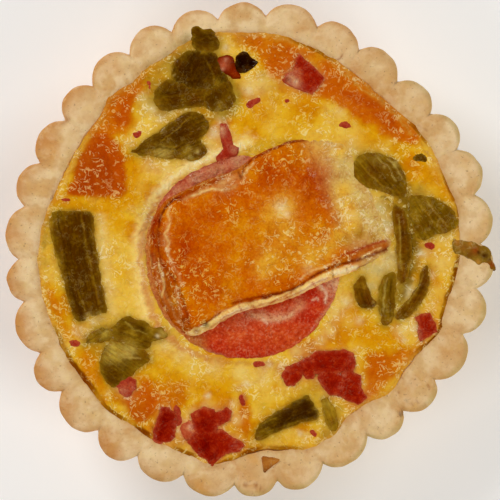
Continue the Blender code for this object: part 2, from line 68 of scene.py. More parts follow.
# Each diffuser's place, size, power and colour
DIFFUSERS = {
    "window": ((-0.36, 0.38, 0.36), 0.26, 2.4, (1.0, 0.98, 0.95)),
    "room_right": ((0.42, -0.34, 0.34), 0.26, 2.0, (1.0, 0.97, 0.92)),
    "room_back": ((0.40, 0.36, 0.36), 0.24, 1.2, (1.0, 0.98, 0.95)),
    "room_left": ((-0.40, -0.34, 0.36), 0.24, 1.35, (1.0, 0.98, 0.95)),
}


def new_material(name):
    """An empty Principled material: the material, its tree and its shader."""
    material = bpy.data.materials.new(name)
    material.use_nodes = True
    tree = material.node_tree
    return material, tree, tree.nodes["Principled BSDF"]


scene = bpy.context.scene
scene.view_settings.view_transform = "Standard"
scene.view_settings.look = "None"
bpy.ops.object.select_all(action="DESELECT")

world = bpy.data.worlds.new("room")
scene.world = world
world.use_nodes = True
room = world.node_tree.nodes["Background"]
room.inputs["Color"].default_value = ROOM_TONE
room.inputs["Strength"].default_value = ROOM_LIGHT

for name, (place, size, energy, tint) in DIFFUSERS.items():
    bpy.ops.object.light_add(type="AREA", location=place)
    diffuser = bpy.context.object
    diffuser.name = name
    diffuser.data.size = size
    diffuser.data.energy = energy
    diffuser.data.color = tint
    diffuser.rotation_euler = (-diffuser.location).to_track_quat("-Z", "Y").to_euler()

bpy.ops.object.camera_add(location=(0.0, 0.0, CAMERA_HEIGHT), rotation=(0.0, 0.0, 0.0))
camera = bpy.context.object
camera.data.sensor_width = SENSOR
camera.data.lens = SENSOR * (CAMERA_HEIGHT - RIM_HEIGHT) / FRAME_WIDTH
camera.data.clip_start = NEAREST_SEEN
scene.camera = camera

bpy.ops.mesh.primitive_plane_add(size=TABLE_SIZE, location=(0.0, 0.0, 0.0))
table = bpy.context.object
table.name = "table"
table_paint, tree, shader = new_material("table_paint")
shader.inputs["Base Color"].default_value = TABLE_TONE
shader.inputs["Roughness"].default_value = 0.8
table.data.materials.append(table_paint)

# The pastry case
# Shortcrust pressed into a fluted tin: a cup with thirty flutes, floury and pale on the rim,
# toasted at the tips of the flutes, with custard baked onto its inner edge in places.
BASE_RADIUS = 46.6 * MM
RIM_RADIUS = 55.1 * MM
INNER_RIM_RADIUS = 49.6 * MM
INNER_FLOOR_RADIUS = 43.8 * MM
FLOOR_THICKNESS = 4.0 * MM
FLUTES = 30
FLUTE_DEPTH = 4.1 * MM
FLUTE_SOFTNESS = 0.6 * MM
BASE_FLUTE_SHARE = 0.55
FIRST_NOTCH = math.radians(1.6)
WORN_FLUTE = 22
WORN_SHARE = 0.85
STEPS_PER_FLUTE = 32
WALL_RINGS = 9
FOOT_CIRCLE = BASE_RADIUS - 1.2 * MM
# The foot from the base up: distance outside the base's radius, height
FOOT_PROFILE = [(-0.5 * MM, 0.25 * MM), (0.0, 0.8 * MM), (0.4 * MM, 1.5 * MM)]
WALL_TOP = 22.6 * MM
# The rim from the wall inwards: millimetres inside the rim's radius, and high
RIM_PROFILE = [(-0.04, 23.3), (0.03, 23.8), (0.2, 24.2), (0.45, 24.5), (0.8, 24.75), (1.2, 24.9),
               (1.65, 25.0), (2.1, 25.05), (2.55, 25.05), (3.0, 25.0), (3.4, 24.95), (3.8, 24.85),
               (4.2, 24.7), (4.6, 24.5)]
# The rim's inner lip: millimetres outside the inner rim's radius, and high
LIP_PROFILE = [(0.6, 24.25), (0.3, 23.95), (0.1, 23.6), (-0.1, 23.1), (-0.5, 22.2)]
INSIDE_BEND = (2.5 * MM, 13.0 * MM)
# How unevenly the flutes were pressed: the notches' places, as a share of a flute, and the
# depths and heights of the flutes
NOTCH_SHIFT = 0.35
NOTCH_SHIFT_SHARE = 0.2
DEPTH_SHARES = (0.9, 1.04)
HEIGHT_SHIFTS = (-0.35, 0.3)
# The lumps of the dough: size and strength
DOUGH_LUMPS = [(3.0 * MM, 0.22 * MM), (0.8 * MM, 0.09 * MM)]
# How the radius of the case strays, outside and inside: waves round the case, size, crest
OUTER_DRIFT = [
    (1, 0.6 * MM, math.radians(-166)),
    (2, 0.79 * MM, math.radians(54)),
    (3, 0.74 * MM, math.radians(-8)),
    (4, 0.71 * MM, math.radians(-2)),
    (6, 0.24 * MM, math.radians(28)),
    (7, 0.34 * MM, math.radians(20)),
]
INNER_DRIFT = [
    (1, 1.2 * MM, math.radians(152)),
    (2, 1.25 * MM, math.radians(54)),
    (3, 1.3 * MM, math.radians(-13)),
    (4, 1.55 * MM, math.radians(2)),
]
# Places where the filling has spread over the inner edge, or the edge stands in:
# direction and reach in degrees, distance
INNER_NICKS = [
    (-71, 6, 2.0 * MM), (-24, 5, 1.5 * MM), (-100, 6, 0.9 * MM), (4, 5, -0.7 * MM), (-53, 8, -0.3 * MM),
    (98, 6, 0.5 * MM), (161, 8, -0.5 * MM), (128, 6, -0.5 * MM), (34, 12, 1.5 * MM), (132, 4, 1.7 * MM),
    (-101, 3.5, 1.3 * MM), (-87, 7, -2.3 * MM), (-65, 2.5, 1.2 * MM), (-46, 7, 2.1 * MM),
    (-158, 16, -0.9 * MM), (93, 8, -1.0 * MM), (114, 4, -0.8 * MM), (-12, 6, -0.9 * MM),
    (10, 4, 0.7 * MM),
]
RAGGED_EDGE = 0.45 * MM
NOTCH_VALLEY = 0.8 * MM

# The photograph's scale on the quiche: marks and outlines are given in its pixels
PIXEL = 0.24 * MM
MIDDLE_PIXEL = 249.5


def seen(pixels):
    """Places in the photograph, in pixels, as places on the quiche."""
    table = np.array(pixels, dtype=float).reshape(-1, 2)
    return np.stack([table[:, 0] - MIDDLE_PIXEL, MIDDLE_PIXEL - table[:, 1]], axis=1) * PIXEL


def drift(waves, angle):
    """The sum of a few waves round the case at an angle."""
    return sum(size * math.cos(count * (angle - crest)) for count, size, crest in waves)


def lumps(x, y, size, seed=0.0):
    """Gentle unevenness between -1 and 1, with humps about `size` across."""
    return noise.noise(Vector((x / size + 0.37, y / size + 0.71, seed + 0.53)))


def inner_wall(angle, height):
    """Radius of the inside of the case."""
    share = (height - FLOOR_THICKNESS) / (RIM_HEIGHT - FLOOR_THICKNESS)
    straight = INNER_FLOOR_RADIUS + (INNER_RIM_RADIUS - INNER_FLOOR_RADIUS) * share
    nicks = sum(distance * math.exp(-(turned_by(angle, direction) / reach) ** 2)
                for direction, reach, distance in INNER_NICKS)
    ragged = 0.7 * lumps(math.cos(angle), math.sin(angle), 0.11, 2.0)
    ragged += 0.5 * lumps(math.cos(angle), math.sin(angle), 0.04, 6.0)
    return straight + drift(INNER_DRIFT, angle) * share + (nicks + RAGGED_EDGE * ragged) * share ** 4


# How many degrees are in a radian
DEGREES = 180 / math.pi


def turned_by(angle, direction):
    """Degrees between an angle in radians and a direction in degrees."""
    return (angle * DEGREES - direction + 180) % 360 - 180


def flute_rise(share):
    """How far a flute stands out, at a share from 0 to 1 of the way from notch to notch."""
    half_width = math.pi * RIM_RADIUS / FLUTES
    arc_radius = (half_width ** 2 + FLUTE_DEPTH ** 2) / (2 * FLUTE_DEPTH)
    across = (2 * share - 1) * half_width
    rise = math.sqrt(max(arc_radius ** 2 - across ** 2, 0.0)) - (arc_radius - FLUTE_DEPTH)
    return math.hypot(rise, FLUTE_SOFTNESS)


def only(piece):
    """Makes the piece the only one selected."""
    bpy.ops.object.select_all(action="DESELECT")
    piece.select_set(True)
    bpy.context.view_layer.objects.active = piece


def places(piece):
    """The places of the piece's vertices as a table."""
    flat = np.empty(len(piece.data.vertices) * 3)
    piece.data.vertices.foreach_get("co", flat)
    return flat.reshape(-1, 3)


def move_to(piece, spots):
    piece.data.vertices.foreach_set("co", spots.ravel())
    piece.data.update()


def eased(value):
    """0 below 0, 1 above 1, and a smooth step between."""
    held = np.clip(value, 0.0, 1.0)
    return held * held * (3 - 2 * held)


def patch(points, middle, reach):
    """The strength of a soft round patch, in pixels, at each point."""
    away = np.hypot(*(points - seen(middle)).T) / (reach * PIXEL)
    return np.exp(-away ** 2)


def from_stretch(points, start, end):
    """How far each point lies from a straight stretch."""
    along = end - start
    share = np.clip((points - start) @ along / (along @ along), 0, 1)
    return np.hypot(*(points - start - share[:, None] * along).T)


def near_line(points, line):
    """How far each point lies from a line drawn in pixels, in pixels."""
    marks = seen(line)
    nearest = np.full(len(points), np.inf)
    for start, end in zip(marks, marks[1:]):
        nearest = np.minimum(nearest, from_stretch(points, start, end))
    return nearest / PIXEL


# Without a seed the edges would stray differently in every run
noise.seed_set(12)


def strayed(points, reach=0.3 * MM, size=1.7 * MM):
    """The points, each moved a little, so that no edge on the quiche is straight."""
    moves = []
    for x, y in points:
        first = noise.noise_vector(Vector((x / size + 0.3, y / size + 0.6, 0.4)))
        second = noise.noise_vector(Vector((x / size * 2.3, y / size * 2.3, 5.2)))
        moves.append((first.x + 0.4 * second.x, first.y + 0.4 * second.y))
    return points + np.array(moves) * reach


def rough(points, size, seed):
    """Gentle unevenness between -1 and 1 at each point, with humps about `size` across."""
    return np.array([lumps(x, y, size, seed) for x, y in points])


def srgb(red, green, blue):
    """A colour as the eye sees it, 0 to 255, in the linear values that a shader takes."""
    return tuple((value / 255) ** 2.2 for value in (red, green, blue)) + (1.0,)


def one_colour(points, colour):
    return np.tile(np.array(srgb(*colour)[:3]), (len(points), 1))


def laid(colours, share, colour):
    """Lays a colour over others by a share from 0 to 1 for each point."""
    return colours + (np.array(srgb(*colour)[:3]) - colours) * np.clip(share, 0, 1)[:, None]


def dabbed(colours, points, dabs, palette):
    """Lays soft round dabs: a colour's name, then each dab's x, y and reach in pixels, and
    its strength. Where two colours meet, the later one lies over the other."""
    for name, spots in dabs:
        for x, y, reach, strength in spots:
            colours = laid(colours, patch(points, (x, y), reach) * strength, palette[name])
    return colours


def lined(colours, points, lines, palette):
    """Draws soft lines: a colour's name, width in pixels, strength, and the line in pixels."""
    for name, width, strength, line in lines:
        share = np.exp(-(near_line(points, line) / width) ** 2) * strength
        colours = laid(colours, share, palette[name])
    return colours


def tint(piece, colours):
    """Stores a colour for each vertex, which the material reads."""
    layer = piece.data.attributes.new("tint", "FLOAT_COLOR", "POINT")
    opaque = np.concatenate([colours, np.ones((len(colours), 1))], axis=1)
    layer.data.foreach_set("color", opaque.astype(np.float32).ravel())


PASTRY_TONES = {
    "pale": (232, 204, 158), "plain": (213, 175, 119), "warm": (205, 154, 92),
    "toast": (196, 132, 66), "olive": (184, 156, 92), "amber": (206, 140, 52),
    "brown": (150, 86, 36), "dark": (84, 42, 16), "green": (150, 126, 60),
}
# Toasted tips by direction: degrees, reach in degrees, strength
TOAST = [
    (140, 14, 0.7), (160, 14, 0.55), (180, 14, 0.5), (196, 10, 0.8), (215, 12, 0.75), (238, 12, 0.8),
    (256, 8, 0.6), (275, 12, 0.45), (62, 10, 0.45), (98, 8, 0.25), (300, 8, 0.3),
]
PASTRY_DABS = [
    ("toast", [(113, 62, 8, 0.5), (45, 140, 10, 0.7), (20, 190, 7, 0.4), (12, 235, 8, 0.4),
        (19, 320, 8, 0.6), (37, 368, 9, 0.6), (66, 405, 10, 0.6), (105, 440, 12, 0.7),
        (112, 452, 8, 0.6), (285, 485, 12, 0.35)]),
    ("amber", [(52, 152, 7, 0.5), (198, 488, 12, 0.4)]),
    ("warm", [(340, 458, 12, 0.5), (320, 35, 10, 0.5), (335, 45, 9, 0.4)]),
    ("pale", [(385, 432, 10, 0.5), (80, 420, 12, 0.5), (65, 345, 12, 0.5), (180, 472, 10, 0.4),
        (160, 45, 12, 0.4), (420, 90, 12, 0.4), (440, 110, 10, 0.3), (455, 320, 14, 0.5),
        (380, 65, 12, 0.4), (85, 105, 12, 0.4), (120, 60, 12, 0.3), (475, 215, 10, 0.4),
        (30, 270, 10, 0.3), (470, 290, 12, 0.4), (210, 18, 12, 0.3), (128, 458, 9, 0.7),
        (150, 464, 9, 0.4)]),
    ("warm", [(448, 352, 14, 0.9), (400, 390, 12, 0.5), (438, 376, 12, 0.7), (215, 478, 14, 0.5),
        (250, 474, 14, 0.9), (300, 468, 12, 0.6), (410, 408, 14, 0.8), (350, 50, 14, 0.5),
        (390, 80, 14, 0.5), (430, 120, 12, 0.5), (452, 330, 12, 0.5), (300, 24, 12, 0.6),
        (462, 160, 12, 0.5), (60, 388, 10, 0.5)]),
    ("olive", [(178, 45, 8, 0.6), (150, 66, 6, 0.6)]),
    ("green", [(186, 38, 6, 0.7), (166, 56, 5, 0.6), (470, 250, 5, 0.5)]),
    ("amber", [(140, 74, 5, 0.5), (235, 32, 5, 0.8), (225, 34, 5, 0.6), (250, 455, 7, 0.8),
        (255, 462, 5, 0.5)]),
    ("toast", [(355, 70, 9, 0.6), (370, 85, 8, 0.7), (390, 100, 7, 0.5), (360, 412, 7, 0.6),
        (352, 420, 5, 0.5)]),
    ("brown", [(66, 118, 3.0, 0.8), (62, 122, 2.0, 0.6), (402, 378, 1.0, 0.9), (418, 378, 1.3, 0.9),
        (411, 385, 1.2, 0.8), (428, 386, 1.3, 0.8), (399, 393, 1.0, 0.8), (412, 405, 1.2, 0.8),
        (417, 402, 1.0, 0.8), (426, 406, 1.2, 0.8), (306, 450, 1.3, 0.8), (158, 469, 1.1, 0.8),
        (299, 12, 1.0, 0.7), (430, 384, 1.0, 0.8), (100, 95, 1.0, 0.5), (60, 138, 1.0, 0.5),
        (52, 197, 1.6, 0.9), (63, 165, 1.2, 0.5), (392, 430, 1.2, 0.5)]),
    # The dark dabs are painted shade in small holes in the rim.
    ("dark", [(401, 414, 2.0, 0.9), (407, 401, 1.6, 0.9)]),
]
# The dark line is the painted shade in a small hole in the rim; the first brown line follows a crack in
# the rim and the two at the front outline a loose flap, partly browning and partly painted shade in
# those gaps.
PASTRY_LINES = [
    ("brown", 0.9, 0.8, [(342, 54), (336, 60), (331, 58)]),
    ("brown", 0.8, 0.6, [(52, 190), (51, 195), (53, 200)]),
    ("brown", 0.9, 0.8, [(240, 486), (250, 484), (257, 486), (262, 491)]),
    ("brown", 0.7, 0.5, [(256, 492), (248, 496), (240, 494)]),
    ("dark", 1.2, 0.8, [(400, 414), (406, 413), (412, 414)]),
    ("toast", 1.5, 0.4, [(232, 470), (220, 466), (205, 470)]),
    ("brown", 0.8, 0.5, [(430, 135), (424, 128), (418, 124)]),
    ("toast", 1.6, 0.4, [(240, 475), (236, 466), (232, 460)]),
    ("toast", 1.6, 0.4, [(276, 480), (272, 472), (276, 464)]),
]


def crust_rings():
    """Radius and height of each ring of the case, from the foot up, over the rim and down."""
    rings = [(BASE_RADIUS + outwards, height) for outwards, height in FOOT_PROFILE]
    radius, height = rings[-1]
    for step in range(1, WALL_RINGS + 1):
        share = step / WALL_RINGS
        rings.append((radius + (RIM_RADIUS - radius) * share, height + (WALL_TOP - height) * share))
    rings += [(RIM_RADIUS - inwards * MM, height * MM) for inwards, height in RIM_PROFILE]
    rings += [(INNER_RIM_RADIUS + outwards * MM, height * MM) for outwards, height in LIP_PROFILE]
    outwards, height = INSIDE_BEND
    return rings + [(INNER_FLOOR_RADIUS + outwards, height), (INNER_FLOOR_RADIUS, FLOOR_THICKNESS)]


def shaped_by(piece, kind, **settings):
    """Gives the piece, which is the active one, a modifier and applies it."""
    modifier = piece.modifiers.new(kind, kind)
    for name, value in settings.items():
        setattr(modifier, name, value)
    bpy.ops.object.modifier_apply(modifier=modifier.name)


bpy.ops.mesh.primitive_circle_add(vertices=FLUTES * STEPS_PER_FLUTE, radius=FOOT_CIRCLE,
                                  fill_type="NGON")
crust = bpy.context.object
crust.name = "pastry_case"
bpy.ops.object.mode_set(mode="EDIT")
radius, height = FOOT_CIRCLE, 0.0
for next_radius, next_height in crust_rings():
    bpy.ops.mesh.extrude_region_move(
        TRANSFORM_OT_translate={"value": (0, 0, next_height - height)})
    scale = next_radius / radius
    bpy.ops.transform.resize(value=(scale, scale, 1), center_override=(0, 0, 0))
    radius, height = next_radius, next_height
bpy.ops.mesh.select_all(action="SELECT")
bpy.ops.mesh.normals_make_consistent(inside=False)
bpy.ops.object.mode_set(mode="OBJECT")

rng = random.Random(12)
notch_shift = [rng.uniform(-NOTCH_SHIFT, NOTCH_SHIFT) for _ in range(FLUTES)]
depth_share = [rng.uniform(*DEPTH_SHARES) for _ in range(FLUTES)]
depth_share[WORN_FLUTE] = WORN_SHARE
height_shift = [rng.uniform(*HEIGHT_SHIFTS) * MM for _ in range(FLUTES)]
step_angle = 2 * math.pi / FLUTES
outward_share, lobe_share, angles = [], [], []
for vertex in crust.data.vertices:
    x, y, z = vertex.co
    radius = math.hypot(x, y)
    place = (math.atan2(y, x) / step_angle) % FLUTES
    index = int(place + 0.001) % FLUTES
    share = min(max(place - int(place + 0.001), 0.0), 1.0)
    after = (index + 1) % FLUTES
    turn = notch_shift[index] * (1 - share) + notch_shift[after] * share
    angle = FIRST_NOTCH + (index + share + NOTCH_SHIFT_SHARE * turn) * step_angle
    level = min(z / RIM_HEIGHT, 1.0)
    outer = BASE_RADIUS + (RIM_RADIUS - BASE_RADIUS) * level
    inner = INNER_FLOOR_RADIUS + (INNER_RIM_RADIUS - INNER_FLOOR_RADIUS) * level
    outwards = min(max((radius - inner) / (outer - inner), 0.0), 1.0)
    if z < 1 * MM:
        outwards = 1.0
    depth = BASE_FLUTE_SHARE + (1 - BASE_FLUTE_SHARE) * level
    pressed = flute_rise(share) * depth * depth_share[index] * outwards ** 2
    inward = inner_wall(angle, max(z, FLOOR_THICKNESS)) - inner
    wander = drift(OUTER_DRIFT, angle) * level * outwards + inward * (1 - outwards)
    radius += pressed + wander + 0.22 * MM * lumps(x, y, 3 * MM, z / (4 * MM)) * outwards
    near_notch = 1 - math.sin(math.pi * share)
    if z > 22 * MM:
        z += height_shift[index] * math.sin(math.pi * share) * outwards
        z -= NOTCH_VALLEY * near_notch ** 3 * (0.25 + 0.75 * outwards)
        z += (0.30 * lumps(x, y, 7 * MM, 9.0) + 0.14 * lumps(x, y, 2.2 * MM, 5.0)) * MM * outwards
    vertex.co = (radius * math.cos(angle), radius * math.sin(angle), max(z, 0.0))
    outward_share.append(outwards)
    lobe_share.append(1 - near_notch)
    angles.append(angle)
bpy.ops.object.shade_smooth()
only(crust)
for size, strength in DOUGH_LUMPS:
    dough = bpy.data.textures.new("dough_lumps", "CLOUDS")
    dough.noise_scale = size
    dough.noise_depth = 2
    shaped_by(crust, "DISPLACE", texture=dough, texture_coords="LOCAL", strength=strength,
              mid_level=0.6)
spots = places(crust)
spots[:, 2] = np.maximum(spots[:, 2], 0.0)
move_to(crust, spots)

points = strayed(spots[:, :2], 0.25 * MM, 1.5 * MM)
outward_share = np.array(outward_share)
lobe_share = np.array(lobe_share)
toasted = np.array([sum(strength * math.exp(-(turned_by(angle, direction) / reach) ** 2)
                        for direction, reach, strength in TOAST) for angle in angles])
colours = one_colour(points, PASTRY_TONES["plain"])
cloudy = rough(points, 9 * MM, 3.0)
colours = laid(colours, 0.6 * eased(cloudy * 2), PASTRY_TONES["pale"])
colours = laid(colours, 0.5 * eased(-cloudy * 2), PASTRY_TONES["warm"])
flaky = rough(points, 3.2 * MM, 7.0) + 0.5 * rough(points, 1.3 * MM, 1.0)
colours = laid(colours, 0.7 * eased(flaky * 2.6 - 0.2), PASTRY_TONES["pale"])
colours = laid(colours, 0.55 * eased(-flaky * 2.6 - 0.3), PASTRY_TONES["warm"])
tip = eased((outward_share - 0.5) / 0.5)
colours = laid(colours, toasted * tip * (0.3 + 0.7 * lobe_share), PASTRY_TONES["toast"])
# A thin darker edge round the flutes' outer rim, partly toasting and partly painted shade where the rim
# rounds over and falls away: olive on the right side, toasted brown on the left.
edge_shade_share = eased((outward_share - 0.86) / 0.12)
right_side = eased((np.cos(np.array(angles) + 0.5) + 0.3) / 0.8)
colours = laid(colours, edge_shade_share * 0.75 * right_side, PASTRY_TONES["olive"])
colours = laid(colours, edge_shade_share * 0.6 * (1 - right_side), PASTRY_TONES["toast"])
colours = laid(colours, 0.25 * eased((0.3 - outward_share) / 0.3), PASTRY_TONES["amber"])
colours = dabbed(colours, points, PASTRY_DABS, PASTRY_TONES)
colours = lined(colours, points, PASTRY_LINES, PASTRY_TONES)
tint(crust, colours)


def wire(tree, kind, inputs=None, **settings):
    """Adds a shader node; each input is given a value or another node's output."""
    made = tree.nodes.new(kind)
    for name, value in settings.items():
        setattr(made, name, value)
    for name, value in (inputs or {}).items():
        if isinstance(value, bpy.types.NodeSocket):
            tree.links.new(value, made.inputs[name])
        else:
            made.inputs[name].default_value = value
    return made


def attribute(tree, name, output):
    """A colour or place that is stored on the piece."""
    return wire(tree, "ShaderNodeAttribute", attribute_name=name).outputs[output]


def maths(tree, operation, first, second=0.0):
    return wire(tree, "ShaderNodeMath", {0: first, 1: second}, operation=operation).outputs[0]


def mixed(tree, share, first, second, way="MIX"):
    """Two colours mixed by a share that varies over the surface."""
    made = wire(tree, "ShaderNodeMix", {0: share, 6: first, 7: second}, data_type="RGBA",
                blend_type=way)
    return made.outputs[2]


def noisy(tree, scale, detail=2.0, distortion=0.0, roughness=0.5, vector=None):
    """Noise in the piece's own coordinates, or along a given vector."""
    if vector is None:
        vector = wire(tree, "ShaderNodeTexCoord").outputs["Object"]
    made = wire(tree, "ShaderNodeTexNoise", {
        "Vector": vector, "Scale": scale, "Detail": detail, "Distortion": distortion,
        "Roughness": roughness})
    return made.outputs["Fac"]


def stretched(tree, value, low, high, to_low=0.0, to_high=1.0):
    """A value between low and high, spread evenly over another range and held there."""
    made = wire(tree, "ShaderNodeMapRange", {
        "Value": value, "From Min": low, "From Max": high, "To Min": to_low, "To Max": to_high})
    return made.outputs["Result"]


def grey(tree, value):
    """A colour with all three parts the same."""
    return wire(tree, "ShaderNodeCombineColor", {
        "Red": value, "Green": value, "Blue": value}).outputs["Color"]


def new_effect(name, inputs, outputs):
    """An empty group of shader nodes with named inputs and outputs: the group and its ends."""
    group = bpy.data.node_groups.new(name, "ShaderNodeTree")
    for in_out, sockets in (("INPUT", inputs), ("OUTPUT", outputs)):
        for title, kind in sockets.items():
            group.interface.new_socket(title, in_out=in_out, socket_type="NodeSocket" + kind)
    return group, group.nodes.new("NodeGroupInput"), group.nodes.new("NodeGroupOutput")


def bumped(tree, shader, height, distance):
    made = wire(tree, "ShaderNodeBump", {"Height": height, "Distance": distance,
                                         "Strength": 1.0})
    tree.links.new(made.outputs["Normal"], shader.inputs["Normal"])


# Uneven baking, shared by the pastry and all that it holds: darker and redder in some places,
# paler in others, in two sizes of mottling
BROWNING = (0.78, 0.54, 0.30, 1.0)
FADING = (1.0, 0.96, 0.6, 1.0)
uneven, entry, leave = new_effect(
    "uneven_baking", {"Color": "Color", "Patch Scale": "Float", "Depth": "Float"},
    {"Color": "Color"})
broad = noisy(uneven, entry.outputs["Patch Scale"], 3, 0.3, 0.6)
fine = noisy(uneven, maths(uneven, "MULTIPLY", entry.outputs["Patch Scale"], 4.3), 2, 0.2, 0.6)
both = maths(uneven, "ADD", maths(uneven, "MULTIPLY", broad, 0.6),
             maths(uneven, "MULTIPLY", fine, 0.4))
darker = maths(uneven, "MULTIPLY", stretched(uneven, both, 0.5, 0.34), entry.outputs["Depth"])
paler = maths(uneven, "MULTIPLY", stretched(uneven, both, 0.5, 0.66), entry.outputs["Depth"])
colour = mixed(uneven, darker, entry.outputs["Color"], BROWNING, "MULTIPLY")
faded = wire(uneven, "ShaderNodeGamma", {"Color": colour, "Gamma": 0.72}).outputs["Color"]
faded = mixed(uneven, 1.0, faded, FADING, "MULTIPLY")
uneven.links.new(mixed(uneven, paler, colour, faded), leave.inputs["Color"])


def unevenly_baked(tree, colour, scale, depth):
    made = wire(tree, "ShaderNodeGroup", node_tree=uneven)
    tree.links.new(colour, made.inputs["Color"])
    made.inputs["Patch Scale"].default_value = scale
    made.inputs["Depth"].default_value = depth
    return made.outputs["Color"]


# Flaky shortcrust: pale and brown flakes of dough with specks of bran
PALE_FLAKE = (0.80, 0.58, 0.33, 1.0)
BROWN_FLAKE = (0.52, 0.28, 0.10, 1.0)
BRAN_SPECK = (0.26, 0.13, 0.05, 1.0)
pastry, tree, shader = new_material("baked_pastry")
grain = noisy(tree, 1100, 4, roughness=0.7)
colour = unevenly_baked(tree, attribute(tree, "tint", "Color"), 330, 0.3)
pores = stretched(tree, grain, 0.28, 0.42, 0.9, 1.0)
colour = mixed(tree, 1.0, colour, grey(tree, pores), "MULTIPLY")
flakes = noisy(tree, 300, 4, 0.4, 0.55)
colour = mixed(tree, stretched(tree, flakes, 0.50, 0.64, 0.0, 0.38), colour, PALE_FLAKE)
colour = mixed(tree, stretched(tree, flakes, 0.47, 0.32, 0.0, 0.3), colour, BROWN_FLAKE)
specks = stretched(tree, noisy(tree, 1500, 2), 0.66, 0.72, 0.0, 0.5)
colour = mixed(tree, specks, colour, BRAN_SPECK)
tree.links.new(colour, shader.inputs["Base Color"])
shader.inputs["Roughness"].default_value = 0.7
shader.inputs["Specular IOR Level"].default_value = 0.25
shader.inputs["Subsurface Weight"].default_value = 0.1
shader.inputs["Subsurface Radius"].default_value = (0.0012, 0.0008, 0.0004)
bumped(tree, shader, maths(tree, "ADD", maths(tree, "MULTIPLY", grain, 0.4),
                           noisy(tree, 380, 3)), 0.00035)
crust.data.materials.append(pastry)
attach(crust, "root")
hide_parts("crust")

# The custard
# Egg and cream baked solid in the case: a bright yellow skin, risen and browned in blisters,
# with an oily shine, sunk or stained where the toppings are held in it.
CUSTARD_HEIGHT = 23.6 * MM
CUSTARD_CELLS = 300
CUSTARD_LUMPS = 0.35 * MM
# How far it reaches into the case's wall, and climbs up it
WALL_OVERLAP = 0.6 * MM
WALL_CLIMB = 0.35 * MM
CLIMB_REACH = 2.0 * MM
HIGHEST_AT_WALL = 24.3 * MM
# Its sides below the skin: how far down each stretch goes and how much it narrows
SIDE_STRETCHES = [(3 * MM, 0.972), (16 * MM, 0.89)]
# Blisters and sunken places: middle, reach and rise in millimetres
SWELLS = [
    ((-37.0, 20.0), 8.5, 0.9),
    ((4.0, 47.0), 8.0, 0.5),
    ((24.0, 37.0), 8.5, 0.9),
    ((33.0, 29.5), 7.0, 0.7),
    ((-26.0, -35.5), 7.0, 0.8),
    ((32.5, -27.0), 8.0, 0.6),
    ((-31.0, -5.0), 9.0, -0.7),
    ((46.0, -2.0), 5.0, -0.4),
    ((24.0, -19.5), 7.0, -0.5),
    ((-20.0, 18.0), 6.0, -0.5),
    ((-9.5, -32.5), 7.0, -0.4),
]
CUSTARD_TONES = {
    "cream": (246, 214, 124), "white": (244, 226, 172), "straw": (246, 204, 82),
    "yellow": (240, 186, 36), "gold": (226, 146, 0), "amber": (214, 120, 0),
    "orange": (204, 82, 0), "rust": (184, 52, 0), "deep": (164, 28, 0),
    "ochre": (188, 146, 44), "olive": (156, 124, 36), "moss": (124, 98, 22),
    "pink": (196, 122, 84), "blush": (208, 140, 78), "tan": (200, 140, 64),
    "dark_brown": (112, 52, 8), "sage": (206, 188, 122), "crimson": (128, 34, 20),
}
